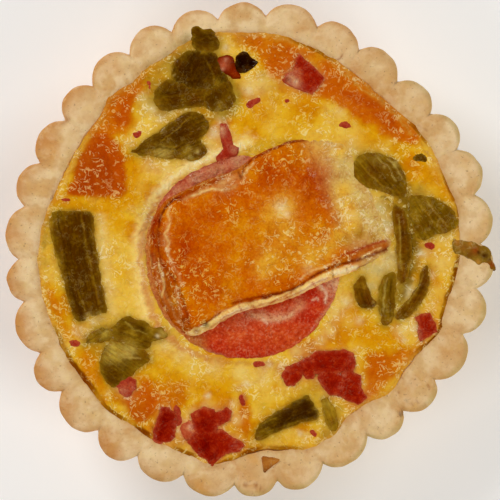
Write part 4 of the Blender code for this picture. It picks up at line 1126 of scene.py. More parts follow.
def oily_glints(tree, scale, width):
    made = wire(tree, "ShaderNodeGroup", node_tree=skin)
    made.inputs["Wrinkle Scale"].default_value = scale
    made.inputs["Line Width"].default_value = width
    return made.outputs["Glints"], made.outputs["Height"]


def cooked(name, patch_scale, patch_depth, wrinkle_scale, glint_share, relief, gloss=0.5,
           flesh=0.15):
    """A painted, unevenly baked and oily surface, with painted highlights along its wrinkles: the
    material, its tree, shader and colour.
    """
    material, tree, shader = new_material(name)
    glints, wrinkles = oily_glints(tree, wrinkle_scale, LINE_WIDTH)
    colour = unevenly_baked(tree, attribute(tree, "tint", "Color"), patch_scale, patch_depth)
    # Painted highlights: where the glints fall, the colour is mixed towards a brighter, butter-yellow
    # copy of itself, and the coat is raised there too
    glow = wire(tree, "ShaderNodeGamma", {"Color": colour, "Gamma": 0.4}).outputs["Color"]
    bright = mixed(tree, 0.2, glow, BUTTER_SHINE)
    colour = mixed(tree, maths(tree, "MULTIPLY", glints, 0.9 * glint_share), colour, bright)
    tree.links.new(colour, shader.inputs["Base Color"])
    wet = stretched(tree, noisy(tree, wrinkle_scale * 0.3, 2), 0.48, 0.66, 0.0, 0.15 * gloss)
    wet = maths(tree, "MAXIMUM", wet, maths(tree, "MULTIPLY", glints, gloss))
    tree.links.new(wet, shader.inputs["Coat Weight"])
    shader.inputs["Coat Roughness"].default_value = OIL_ROUGHNESS
    shader.inputs["Roughness"].default_value = 0.5
    shader.inputs["Specular IOR Level"].default_value = 0.0
    shader.inputs["Subsurface Weight"].default_value = flesh
    shader.inputs["Subsurface Radius"].default_value = (0.002, 0.001, 0.0004)
    bumped(tree, shader, wrinkles, relief)
    return material, tree, shader, colour


custard_skin = cooked("custard_skin", 260, 0.5, 620, 1.0, 0.00035)[0]
custard.data.materials.append(custard_skin)
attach(custard, "root")
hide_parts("custard")

# The tomato
# One thick slice cut across the fruit: wet red flesh, a rim of tougher skin and a pale
# crescent of core, softened by the oven and half hidden by the cheese on it.
TOMATO_TOP = 24.9 * MM
TOMATO_FOOT = 20.6 * MM
# How far the slice's edge is below the custard and how much its middle swells over the edge
TOMATO_SUNK = 0.45 * MM
TOMATO_SWELL = 1.35 * MM
PULP = (0.74, 0.26, 0.14, 1.0)
PULP_SHADE = (0.36, 0.02, 0.006, 1.0)
TOMATO_TONES = {
    "red": (196, 62, 30), "deep": (180, 26, 10), "skin": (150, 30, 8), "pale": (206, 128, 90),
    "cream": (222, 172, 128), "flesh": (196, 128, 92), "brown": (176, 92, 44),
    "orange": (208, 84, 34), "white": (232, 200, 168), "dark": (70, 20, 10),
    "tan": (196, 118, 48),
}
TOMATO_DABS = [
    ("pale", [(240, 322, 14, 0.25)]),
    ("orange", [(235, 335, 16, 0.5), (270, 335, 16, 0.4)]),
    ("deep", [(215, 352, 12, 0.8), (240, 357, 12, 0.8), (268, 355, 10, 0.5), (315, 296, 10, 0.9),
        (306, 315, 12, 0.6), (304, 292, 8, 0.6), (225, 320, 10, 0.4), (245, 314, 9, 0.5)]),
    ("orange", [(300, 340, 14, 0.6), (285, 350, 8, 0.5)]),
    ("brown", [(190, 338, 14, 0.9), (172, 326, 14, 0.9)]),
    ("flesh", [(180, 328, 8, 0.5)]),
    ("brown", [(158, 300, 14, 0.9)]),
    ("flesh", [(150, 280, 10, 0.7)]),
    ("brown", [(148, 250, 14, 0.9), (152, 225, 12, 0.9), (198, 350, 5, 0.6)]),
    ("flesh", [(176, 192, 12, 0.9), (196, 178, 12, 1.0), (216, 168, 12, 1.0), (238, 160, 12, 1.0),
        (165, 208, 10, 0.7)]),
    ("pale", [(205, 178, 8, 0.5), (188, 186, 7, 0.4)]),
    ("cream", [(240, 152, 6, 0.6), (336, 284, 10, 0.8), (342, 270, 10, 0.9)]),
    ("pale", [(328, 292, 7, 0.7), (332, 306, 6, 0.5), (300, 300, 6, 0.3)]),
    # Painted shadow in the small gap at the slice's lower edge
    ("dark", [(212, 359, 3.5, 0.9)]),
    ("cream", [(330, 272, 8, 0.8)]),
]
FAR_SKIN = [(236, 150), (226, 157), (212, 162), (198, 168), (184, 176), (172, 186), (163, 196)]
TOMATO_LINES = [
    ("tan", 9, 0.95, [(154, 208), (147, 228), (144, 250), (146, 272), (152, 296), (162, 318),
        (178, 336), (194, 347)]),
    ("brown", 2.5, 0.6, [(158, 212), (151, 232), (149, 252), (151, 276), (158, 302), (170, 324)]),
    ("pale", 5, 0.9, [(250, 313), (262, 316), (276, 317), (290, 314), (300, 306)]),
    ("cream", 2.5, 0.6, [(252, 315), (266, 319), (280, 319), (292, 314)]),
    # The white strokes are painted highlights on the wet flesh
    ("white", 1.4, 0.7, [(262, 319), (266, 323)]),
    ("white", 1.3, 0.8, [(316, 282), (322, 286), (326, 294), (326, 302)]),
    ("cream", 1.2, 0.7, [(310, 286), (318, 284), (322, 290)]),
    ("white", 1.0, 0.6, [(312, 300), (316, 297), (318, 300)]),
    ("skin", 2.2, 0.8, [(334, 306), (330, 316), (324, 322)]),
    ("pale", 1.6, 0.7, [(334, 296), (330, 306), (324, 314), (316, 322)]), ("skin", 2.4, 0.9, FAR_SKIN),
    ("skin", 2.2, 0.6, [(163, 196), (156, 208), (152, 222)]),
    ("brown", 2.0, 0.6, [(196, 350), (190, 345), (180, 338), (168, 328)]),
    ("orange", 1.6, 0.8, [(206, 356), (222, 360), (246, 362), (268, 359), (288, 351)]),
    ("flesh", 1.6, 0.5, [(200, 349), (220, 355)]),
]


def slab(name, outline, top, foot, voxel, smoothing=4):
    """A piece cut to an outline, closed all round, with soft edges and an even fine mesh."""
    bpy.ops.object.select_all(action="DESELECT")
    bpy.ops.mesh.primitive_circle_add(vertices=len(outline), radius=MM, fill_type="NGON")
    piece = bpy.context.object
    piece.name = name
    move_to(piece, np.column_stack([outline, np.full(len(outline), top)]))
    bpy.ops.object.mode_set(mode="EDIT")
    bpy.ops.mesh.extrude_region_move(TRANSFORM_OT_translate={"value": (0, 0, foot - top)})
    bpy.ops.mesh.select_all(action="SELECT")
    bpy.ops.mesh.normals_make_consistent(inside=False)
    bpy.ops.object.mode_set(mode="OBJECT")
    shaped_by(piece, "REMESH", mode="VOXEL", voxel_size=voxel)
    shaped_by(piece, "SMOOTH", factor=0.5, iterations=smoothing)
    bpy.ops.object.shade_smooth()
    return piece


def raise_to(piece, heights, top, foot):
    """Stretches a slab upwards so that its flat top takes the given heights."""
    spots = places(piece)
    share = np.clip((spots[:, 2] - foot) / (top - foot), 0, 1)
    spots[:, 2] = foot + share * (heights - foot)
    move_to(piece, spots)
    return spots


tomato_outline = rounded(seen(TOMATO_OUTLINE))
tomato = slab("tomato_flesh", tomato_outline, TOMATO_TOP, TOMATO_FOOT, 0.36 * MM)
points = places(tomato)[:, :2]
warped = strayed(points)
inside = depth_in(warped, tomato_outline)
heights = custard_heights(points) - TOMATO_SUNK + TOMATO_SWELL * (
    1 - near_edge(inside, 0.8 * MM))
heights += (0.22 * rough(points, 2.6 * MM, 1.0) + 0.10 * rough(points, 1.0 * MM, 2.0)) * MM
heights += 0.3 * MM * np.exp(-(near_line(points, FAR_SKIN) / 2.0) ** 2)
raise_to(tomato, heights, TOMATO_TOP, TOMATO_FOOT)
colours = one_colour(points, TOMATO_TONES["red"])
colours = dabbed(colours, warped, TOMATO_DABS, TOMATO_TONES)
colours = lined(colours, warped, TOMATO_LINES, TOMATO_TONES)
colours = laid(colours, 0.35 * near_edge(inside, 0.35 * MM), TOMATO_TONES["cream"])
tint(tomato, colours)
flesh, tree, shader, colour = cooked("tomato_flesh", 520, 0.8, 520, 0.3, 0.0005, 0.5, 0.2)
speckled = noisy(tree, 1500, 2, 0.4)
colour = mixed(tree, stretched(tree, speckled, 0.54, 0.68, 0.0, 0.3), colour, PULP)
colour = mixed(tree, stretched(tree, speckled, 0.48, 0.34, 0.0, 0.5), colour, PULP_SHADE)
tree.links.new(colour, shader.inputs["Base Color"])
tomato.data.materials.append(flesh)
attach(tomato, "root")
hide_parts("tomato_slice")

# The cheese
# A slice of soft rinded cheese laid on the tomato. It has browned and blistered on top, its
# white rind shows along the front edge, its left side has slumped and its right side has run.
CHEESE_TOP = 27.3 * MM
CHEESE_FOOT = 22.4 * MM
CHEESE_PLATEAU = 27.2 * MM
# How far the face has sunk towards the right, and run down at the far right corner
MELT_DROP = 2.3 * MM
RUN_DROP = 1.6 * MM
# The direction across the slice, and where it starts and how wide it is, in millimetres
ACROSS_SLICE = (0.92, 0.39)
SLICE_START = -21
SLICE_WIDTH = 52
# The slumped left side: how far below the face, how far down and out, and its folds
SLUMP_STEP = 0.9 * MM
SLUMP_DEPTH = 1.6 * MM
SLUMP_REACH = 3.2 * MM
FOLD_HEIGHT = 0.28 * MM
FOLD_SIZE = 0.45 * MM
# The rind along the front: how far below the face, and how it rounds off
RIND_STEP = 0.55 * MM
RIND_ROUNDING = 0.25 * MM
RIND_REACH = 1.6 * MM
CREASE_DEPTH = 0.3 * MM
WRINKLE_HEIGHT = 0.16 * MM
CHEESE_FACE = [
    (192, 329), (186, 318), (182, 304), (176, 288), (171, 274), (164, 260), (160, 244), (159, 228),
    (161, 215), (167, 205), (176, 198), (190, 190), (206, 182), (222, 176), (238, 172), (245, 164),
    (256, 157), (272, 149), (290, 142), (310, 138), (330, 138), (344, 142), (356, 158), (368, 182),
    (380, 210), (390, 238), (389, 248), (376, 255), (360, 261), (340, 267), (320, 274), (302, 285),
    (284, 293), (264, 299), (246, 302), (232, 306), (220, 313), (208, 322),
]
CHEESE_OUTLINE = [
    (192, 338), (184, 334), (174, 328), (165, 316), (157, 300), (151, 282), (147, 262), (146, 244),
    (149, 226), (154, 212), (161, 202), (172, 194), (188, 186), (206, 178), (222, 172), (238, 167),
    (246, 160), (256, 153), (272, 146), (290, 139), (310, 135), (332, 134), (348, 138), (360, 154),
    (372, 180), (385, 208), (395, 238), (393, 250), (380, 259), (362, 269), (342, 276), (322, 284),
    (304, 293), (286, 301), (266, 307), (248, 310), (236, 314), (224, 321), (210, 331),
]
FRONT_EDGE = CHEESE_FACE[-12:] + CHEESE_FACE[:1]
LEFT_EDGE = CHEESE_FACE[:11]
CHEESE_TONES = {
    "orange": (202, 96, 0), "brown": (178, 58, 0), "rust": (158, 38, 0),
    "amber": (220, 142, 16), "yellow": (232, 176, 52), "cream": (238, 200, 126),
    "tan": (200, 136, 76), "rind": (244, 200, 118), "white": (250, 228, 176),
    "umber": (112, 36, 4), "dark": (50, 12, 2), "red": (136, 36, 2), "sage": (208, 176, 100),
    "ochre": (166, 110, 16),
    # side: the darker colour of the cheese's cut and slumped sides, partly browning and partly painted
    # shade where they turn away from the light
    "side": (176, 84, 12), "blush": (214, 150, 84),
}
# Dabs of colour; the white dabs and the small cream ones are painted highlights on the wet, wrinkled
# skin
CHEESE_DABS = [
    ("brown", [(184, 246, 14, 0.7)]),
    ("rust", [(186, 232, 8, 0.4), (188, 250, 7, 0.4), (216, 288, 8, 0.45)]),
    ("brown", [(205, 215, 12, 0.35), (186, 275, 9, 0.5), (214, 290, 10, 0.5), (196, 270, 9, 0.35),
        (268, 172, 14, 0.5)]),
    ("amber", [(182, 290, 7, 0.5)]),
    ("rust", [(266, 174, 7, 0.35)]),
    ("brown", [(290, 178, 12, 0.4)]),
    ("rust", [(316, 184, 10, 0.55)]),
    ("brown", [(312, 176, 16, 0.6), (322, 198, 10, 0.55), (328, 166, 10, 0.4)]),
    ("rust", [(304, 196, 7, 0.3)]),
    ("amber", [(300, 150, 14, 0.5), (322, 148, 9, 0.4), (248, 172, 8, 0.4)]),
    ("tan", [(224, 184, 9, 0.6)]),
    ("cream", [(222, 182, 5, 0.35), (232, 178, 4, 0.35)]),
    ("tan", [(240, 176, 5, 0.5)]),
    ("yellow", [(282, 208, 14, 0.8)]),
    ("cream", [(281, 208, 7, 0.5)]),
    ("yellow", [(268, 216, 9, 0.5)]),
    ("amber", [(262, 230, 14, 0.6), (240, 222, 12, 0.4)]),
    ("yellow", [(286, 232, 12, 0.6), (270, 258, 12, 0.7), (262, 270, 9, 0.5)]),
    ("amber", [(285, 262, 12, 0.6), (300, 240, 12, 0.5), (240, 256, 12, 0.4), (232, 288, 10, 0.4)]),
    ("yellow", [(310, 256, 12, 0.7), (326, 248, 9, 0.7)]),
    ("cream", [(308, 268, 5, 0.4)]),
    ("amber", [(318, 226, 10, 0.6)]),
    ("brown", [(300, 212, 6, 0.25)]),
    ("orange", [(332, 214, 8, 0.5)]),
    ("sage", [(344, 158, 9, 0.9), (350, 176, 10, 0.95)]),
    ("yellow", [(344, 190, 9, 0.9)]),
    ("sage", [(358, 196, 9, 0.9)]),
    ("yellow", [(348, 208, 10, 0.9)]),
    ("sage", [(366, 214, 9, 0.9)]),
    ("yellow", [(352, 226, 10, 0.9)]),
    ("sage", [(376, 224, 9, 0.8)]),
    ("cream", [(368, 236, 6, 0.4), (350, 216, 5, 0.4)]),
    ("tan", [(362, 242, 7, 0.7)]),
    ("sage", [(386, 230, 7, 0.9)]),
    ("yellow", [(338, 236, 9, 0.8), (340, 150, 7, 0.8)]),
    ("cream", [(334, 146, 4, 0.5)]),
    ("brown", [(372, 250, 6, 0.8)]),
    ("red", [(384, 247, 4, 0.8), (154, 222, 6, 0.8), (292, 288, 4, 0.6)]),
    ("cream", [(379, 248, 2.5, 0.7), (368, 254, 2.0, 0.6)]),
    ("brown", [(355, 254, 6, 0.6)]),
    ("rust", [(362, 250, 5, 0.4), (178, 262, 8, 0.5)]),
    ("side", [(152, 250, 9, 0.8), (158, 290, 9, 0.8), (176, 322, 9, 0.8), (168, 300, 7, 0.6)]),
    ("umber", [(156, 236, 5, 0.6), (184, 320, 3.5, 0.8)]),
    ("tan", [(165, 240, 5, 0.6)]),
    ("amber", [(176, 302, 5, 0.5)]),
    ("white", [(280, 206, 5, 0.5), (286, 214, 3, 0.5)]),
    ("ochre", [(360, 233, 7, 0.9), (374, 237, 6, 0.9), (346, 240, 6, 0.6)]),
    ("dark", [(205, 324, 4, 0.85)]),
    ("umber", [(196, 330, 4, 0.7), (250, 300, 4, 0.4)]),
    ("brown", [(240, 296, 7, 0.5)]),
]
# Lines on the cheese. The umber ones are sunk as creases below, and their darkness is partly browning
# and partly painted shade in the creases; the red and umber lines along the upper edges of the face are
# partly painted shadow cast by the raised edge; the thin cream lines are painted highlights along
# wrinkles that are raised below.
CHEESE_LINES = [
    ("umber", 1.2, 0.9, [(159, 222), (161, 214), (165, 207), (172, 200), (180, 196)]),
    ("red", 2.6, 0.7, [(178, 199), (190, 192), (206, 184), (222, 178)]),
    ("tan", 1.8, 0.8, [(184, 199), (198, 192), (214, 187), (228, 190), (236, 184)]),
    ("cream", 0.9, 0.8, [(192, 196), (202, 191), (212, 188), (222, 190)]),
    ("umber", 1.1, 0.8, [(238, 171), (241, 178), (243, 168), (250, 160)]),
    ("cream", 1.1, 0.7, [(243, 174), (248, 168), (254, 163)]),
    ("red", 1.3, 0.85, [(246, 163), (256, 156), (272, 148), (290, 141), (310, 138)]),
    ("umber", 0.9, 0.5, [(268, 150), (284, 143), (300, 140)]),
    ("red", 1.8, 0.8, [(156, 248), (152, 236), (154, 224), (158, 214)]),
    ("brown", 3.4, 0.5, [(160, 218), (157, 232), (159, 256), (168, 272), (180, 296), (188, 322)]),
    ("umber", 1.0, 0.6, [(160, 218), (157, 232), (158, 248), (161, 262), (167, 270), (172, 276)]),
    ("blush", 1.6, 0.45, [(170, 216), (166, 228), (166, 242), (168, 254), (172, 264)]),
    ("cream", 0.8, 0.6, [(168, 226), (164, 234), (169, 242), (165, 250), (171, 260)]),
    ("blush", 1.4, 0.6, [(172, 266), (178, 274), (182, 284)]),
    ("umber", 1.0, 0.6, [(172, 276), (178, 288), (183, 300), (186, 312), (189, 324)]),
    ("cream", 1.1, 0.8, [(158, 262), (161, 274), (163, 286), (161, 296)]),
    ("blush", 1.6, 0.35, [(152, 254), (155, 272), (160, 292), (167, 310)]),
    ("umber", 1.2, 0.5, [(150, 256), (154, 276), (160, 296), (168, 314)]),
    ("tan", 1.6, 0.6, [(176, 290), (178, 304), (180, 314)]),
    ("blush", 1.0, 0.7, [(149, 236), (147, 248), (150, 260), (149, 272), (154, 284)]),
    ("brown", 1.2, 0.7, [(153, 240), (151, 252), (154, 264), (154, 276), (160, 290)]),
    ("rind", 0.9, 0.7, [(170, 206), (167, 214), (170, 222), (167, 230)]),
    ("tan", 1.0, 0.7, [(164, 292), (170, 304), (174, 316), (182, 326)]),
    ("side", 2.4, 0.7, [(150, 268), (155, 288), (163, 308), (174, 326), (186, 334)]),
    ("red", 1.8, 0.85, [(232, 303), (246, 299), (262, 296), (276, 293)]),
    ("umber", 1.1, 0.9, [(262, 298), (280, 292), (292, 289), (303, 283)]),
    ("red", 1.6, 0.8, [(300, 284), (318, 272), (336, 265), (352, 261)]),
    ("umber", 1.0, 0.8, [(310, 277), (322, 271), (336, 265)]),
    ("cream", 0.9, 0.6, [(300, 278), (312, 270), (324, 266), (340, 260)]),
    ("rind", 2.4, 0.95, [(214, 322), (222, 316), (234, 310), (248, 307), (262, 304), (276, 300)]),
    ("rind", 2.2, 0.95, [(276, 300), (290, 296), (304, 290), (318, 281), (330, 276)]),
    ("white", 1.6, 0.9, [(222, 317), (234, 311), (248, 307.5)]),
    ("white", 1.6, 0.9, [(300, 291), (312, 284), (326, 278)]),
    ("white", 2.4, 0.95, [(336, 272), (346, 270), (357, 267)]),
    ("brown", 0.8, 0.6, [(220, 319), (234, 312), (246, 308), (260, 305), (274, 301), (288, 297),
        (300, 291), (316, 282), (328, 277)]),
    ("tan", 1.2, 0.8, [(210, 326), (220, 322), (232, 316), (246, 312)]),
    ("blush", 1.2, 0.7, [(262, 308), (276, 304), (292, 298), (306, 292)]),
    ("brown", 0.9, 0.7, [(270, 303), (280, 297), (292, 292)]),
    ("brown", 0.8, 0.8, [(238, 306), (242, 312), (241, 315)]),
    ("brown", 0.8, 0.8, [(252, 304), (255, 309)]),
    ("brown", 0.8, 0.8, [(286, 296), (291, 300)]),
    ("brown", 0.8, 0.8, [(312, 282), (316, 287)]),
    ("umber", 0.6, 0.6, [(346, 268), (348, 274)]),
    ("tan", 0.9, 0.7, [(206, 330), (216, 323), (226, 318)]),
    ("umber", 0.7, 0.7, [(333, 268), (332, 274), (334, 278)]),
    ("tan", 1.0, 0.7, [(262, 307), (280, 303), (296, 297)]),
    ("umber", 1.0, 0.7, [(358, 268), (366, 264), (376, 260)]),
    ("side", 4.0, 0.9, [(336, 262), (352, 256), (368, 250), (386, 244)]),
    ("rust", 1.4, 0.8, [(340, 256), (356, 250), (372, 244), (386, 240)]),
    ("umber", 1.3, 0.85, [(336, 265), (352, 261), (368, 256), (388, 248)]),
    ("cream", 0.9, 0.7, [(362, 257), (370, 252), (380, 247)]),
    ("umber", 0.8, 0.7, [(206, 322), (212, 318), (220, 312)]),
]

face = seen(CHEESE_FACE)
cheese_outline = rounded(seen(CHEESE_OUTLINE))
cheese = slab("browned_cheese", cheese_outline, CHEESE_TOP, CHEESE_FOOT, 0.33 * MM, 3)
points = places(cheese)[:, :2]
warped = strayed(points, 0.22 * MM, 1.4 * MM)
on_face = depth_in(warped, rounded(face))
inside = depth_in(warped, cheese_outline)
to_front = near_line(points, FRONT_EDGE) * PIXEL
to_left = near_line(points, LEFT_EDGE) * PIXEL
across = (points @ np.array(ACROSS_SLICE) / MM - SLICE_START) / SLICE_WIDTH
plateau = CHEESE_PLATEAU - MELT_DROP * eased((across - 0.5) / 0.5)
plateau -= RUN_DROP * eased((across - 0.72) / 0.2) * eased((to_front - 1.0 * MM) / (4 * MM))
plateau += (0.34 * rough(points, 3.6 * MM, 4.0) + 0.16 * rough(points, 1.5 * MM, 5.0)) * MM
custard_level = custard_heights(points)
plateau = np.maximum(plateau, custard_level + 0.45 * MM + 0.2 * MM * rough(points, 2.4 * MM, 6.0))
drop = 1 - near_edge(on_face, 0.5 * MM)
beside = np.maximum(-on_face, 0)
side = np.where(to_left < to_front, 1.0, 0.0)
slump = plateau - SLUMP_STEP - SLUMP_DEPTH * eased(beside / SLUMP_REACH)
slump += FOLD_HEIGHT * np.sin(beside / FOLD_SIZE)
rind_top = plateau - RIND_STEP - RIND_ROUNDING * eased(beside / RIND_REACH)
outer = np.where(side > 0, slump, rind_top)
heights = outer + (plateau - outer) * np.where(on_face > 0, drop, 0.0)
falls_off = 1 - near_edge(inside, (0.4 + 1.0 * eased((across - 0.75) / 0.2)) * MM)
foot_level = custard_level - 0.3 * MM
heights = foot_level + (heights - foot_level) * falls_off
heights += 0.12 * MM * rough(points, 0.8 * MM, 7.0)
heights = np.minimum(heights, cad_high[2] - 0.05 * MM)
for tone, width, strength, line in CHEESE_LINES:
    shaped = np.exp(-(near_line(warped, line) / width) ** 2) * strength
    if tone in ("dark", "umber"):
        heights -= CREASE_DEPTH * shaped
    elif tone in ("blush", "rind", "white", "cream"):
        heights += WRINKLE_HEIGHT * shaped
raise_to(cheese, heights, CHEESE_TOP, CHEESE_FOOT)
colours = one_colour(points, CHEESE_TONES["orange"])
colours = laid(colours, 0.4 * eased(rough(points, 6 * MM, 8.0)), CHEESE_TONES["amber"])
colours = laid(colours, 0.3 * eased(-rough(points, 6 * MM, 8.0)), CHEESE_TONES["brown"])
# The slumped left side off the face takes the darker side colour, partly painted shade; the front off
# the face takes the rind's colour
off_face = eased((-on_face) / (0.4 * MM) + 0.5)
colours = laid(colours, off_face * side, CHEESE_TONES["side"])
colours = laid(colours, off_face * (1 - side) * (across < 0.8), CHEESE_TONES["rind"])
colours = laid(colours, 0.8 * eased((across - 0.78) / 0.12), CHEESE_TONES["sage"])
colours = dabbed(colours, warped, CHEESE_DABS, CHEESE_TONES)
colours = lined(colours, warped, CHEESE_LINES, CHEESE_TONES)
tint(cheese, colours)
cheese.data.materials.append(cooked("browned_cheese", 420, 0.8, 640, 1.0, 0.0004, 0.5)[0])
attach(cheese, "root")
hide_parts("cheese_slice")

# The green stalks
# Pieces of cooked green stalk, gone olive in the oven: fibrous, ridged along their length,
# baked into the custard, with its film over their edges.
RIDGE_HEIGHT = 0.04 * MM
RIDGE_SIZE = 0.55 * MM
HOLLOW_DEPTH = 0.30 * MM
STALK_LUMPS = 0.22 * MM
# The fibres' scale along, across and down
FIBRE_SCALE = (180, 1500, 300)
STALK_TONES = {
    "dark": (88, 54, 2), "deep": (66, 38, 2), "moss": (118, 84, 12), "olive": (154, 116, 26),
    "pale": (178, 146, 54), "straw": (204, 176, 86), "cream": (222, 196, 122),
    "white": (236, 220, 174), "brown": (104, 60, 0),
}
# Each stalk's direction in degrees, how far it stands out in millimetres, and its main colour
STALKS = {
    "stalk_long_left": (101, 0.7, "dark"), "stalk_wedge": (25, 0.8, "dark"),
    "stalk_top_small": (150, 0.5, "dark"), "stalk_top_dark": (60, 0.8, "deep"),
    "stalk_top_middle": (10, 0.8, "dark"), "stalk_top_right": (110, 0.7, "dark"),
    "stalk_flake_left": (-20, 0.7, "moss"), "stalk_stub_left": (30, 0.4, "moss"),
    "stalk_block_left": (-35, 0.6, "moss"), "stalk_oval_right": (-50, 0.8, "moss"),
    "stalk_outer_right": (-55, 0.7, "moss"), "stalk_strip_right": (95, 0.8, "brown"),
    "stalk_strip_low": (88, 0.7, "moss"), "stalk_stub_low": (105, 0.6, "brown"),
    "stalk_curved": (60, 0.7, "brown"), "stalk_bottom": (24, 0.8, "deep"),
    "stalk_bottom_pale": (110, 0.5, "olive"),
}
STALK_DABS = [
    ("olive", [(48, 222, 8, 0.8), (54, 262, 6, 0.7)]),
    ("moss", [(50, 240, 7, 0.8), (60, 282, 6, 0.6), (104, 306, 5, 0.6), (64, 212, 6, 0.5),
        (70, 300, 4, 0.5), (56, 214, 5, 0.6)]),
    ("brown", [(92, 260, 5, 0.5)]),
    ("deep", [(78, 250, 10, 0.4)]),
    ("straw", [(88, 317, 4, 0.7), (98, 316, 3, 0.6)]),
    ("deep", [(78, 322, 3, 0.6)]),
    ("moss", [(75, 322, 3, 0.5), (196, 118, 8, 0.3)]),
    ("brown", [(66, 230, 6, 0.3)]),
    ("deep", [(176, 134, 10, 0.5), (160, 138, 8, 0.4)]),
    ("olive", [(150, 152, 8, 0.8), (166, 152, 9, 0.8)]),
    ("straw", [(162, 154, 7, 0.6)]),
    ("olive", [(184, 152, 7, 0.6)]),
    ("moss", [(196, 152, 7, 0.7), (206, 124, 5, 0.5), (190, 38, 5, 0.7)]),
    ("straw", [(190, 157, 3, 0.5)]),
    ("pale", [(188, 148, 4, 0.5)]),
    ("straw", [(197, 150, 2.5, 0.5)]),
    ("deep", [(204, 36, 6, 0.6)]),
    ("moss", [(212, 44, 5, 0.6)]),
    ("olive", [(204, 50, 4, 0.6)]),
    ("deep", [(200, 62, 8, 0.5), (188, 76, 8, 0.6)]),
    ("brown", [(216, 68, 6, 0.5), (178, 62, 5, 0.5)]),
    ("moss", [(184, 58, 4, 0.5), (206, 80, 5, 0.6), (190, 92, 5, 0.5), (158, 92, 6, 0.6)]),
    ("olive", [(216, 82, 4, 0.7)]),
    ("deep", [(170, 92, 7, 0.5)]),
    ("olive", [(156, 102, 5, 0.7)]),
    ("brown", [(196, 96, 7, 0.6)]),
    ("moss", [(184, 100, 5, 0.5), (226, 96, 5, 0.8)]),
    ("olive", [(220, 104, 5, 0.6)]),
    ("deep", [(212, 96, 6, 0.6), (404, 232, 5, 0.6), (404, 258, 5, 0.5), (364, 304, 4, 0.7)]),
    ("moss", [(204, 90, 5, 0.4)]),
    ("dark", [(130, 324, 8, 0.7)]),
    ("olive", [(116, 330, 5, 0.5), (150, 330, 6, 0.7), (130, 336, 6, 0.7), (90, 338, 6, 0.7)]),
    ("straw", [(162, 333, 4, 0.7)]),
    ("dark", [(144, 342, 5, 0.7), (86, 342, 4, 0.6)]),
    # A painted highlight on the wet film
    ("white", [(157, 336, 2, 0.7)]),
    ("pale", [(104, 334, 5, 0.6), (118, 352, 10, 0.8)]),
    ("straw", [(130, 352, 5, 0.6), (110, 348, 5, 0.5)]),
    ("dark", [(112, 372, 9, 0.9), (120, 380, 7, 0.8), (106, 364, 4, 0.7), (396, 182, 8, 0.6),
        (388, 184, 8, 0.5), (436, 216, 12, 0.4), (452, 214, 4, 0.5), (395, 286, 4, 0.5),
        (426, 276, 4, 0.6), (404, 310, 5, 0.5)]),
    ("olive", [(136, 364, 7, 0.7)]),
    ("moss", [(146, 360, 4, 0.6)]),
    ("brown", [(376, 170, 12, 0.5), (444, 224, 6, 0.4)]),
    ("olive", [(358, 178, 5, 0.7), (362, 158, 5, 0.6), (366, 186, 5, 0.7), (380, 192, 5, 0.6),
        (416, 214, 5, 0.7), (428, 200, 5, 0.5), (399, 226, 2.5, 0.5), (400, 262, 3, 0.4),
        (384, 300, 4, 0.6), (388, 320, 5, 0.6), (362, 284, 4, 0.6), (416, 294, 3, 0.5)]),
    ("pale", [(376, 158, 5, 0.4), (384, 282, 3, 0.5), (328, 404, 4, 0.5), (114, 351, 8, 0.9),
        (106, 358, 6, 0.6), (161, 335, 4, 0.6)]),
    ("straw", [(396, 163, 3, 0.6), (384, 166, 2, 0.4), (392, 196, 2, 0.6), (374, 302, 2, 0.5),
        (127, 350, 6, 0.7)]),
    ("moss", [(402, 174, 4, 0.4), (424, 228, 6, 0.5), (410, 268, 4, 0.7), (404, 208, 4, 0.5)]),
    ("brown", [(392, 300, 4, 0.5)]),
    ("moss", [(386, 310, 5, 0.4), (360, 296, 5, 0.5), (400, 314, 4, 0.5), (262, 432, 7, 0.8),
        (272, 420, 5, 0.6)]),
    ("deep", [(420, 288, 5, 0.8), (300, 408, 10, 0.7), (286, 416, 8, 0.5)]),
    ("olive", [(258, 438, 5, 0.6)]),
    ("moss", [(268, 436, 4, 0.5), (310, 398, 3, 0.5), (334, 424, 5, 0.6), (324, 412, 4, 0.6)]),
    ("brown", [(330, 432, 3, 0.6)]),
    ("dark", [(112, 378, 7, 0.9)]),
    ("deep", [(124, 367, 6, 0.6), (141, 330, 6, 0.7)]),
    ("dark", [(136, 360, 6, 0.6), (120, 328, 7, 0.7)]),
    ("moss", [(130, 340, 6, 0.5)]),
]
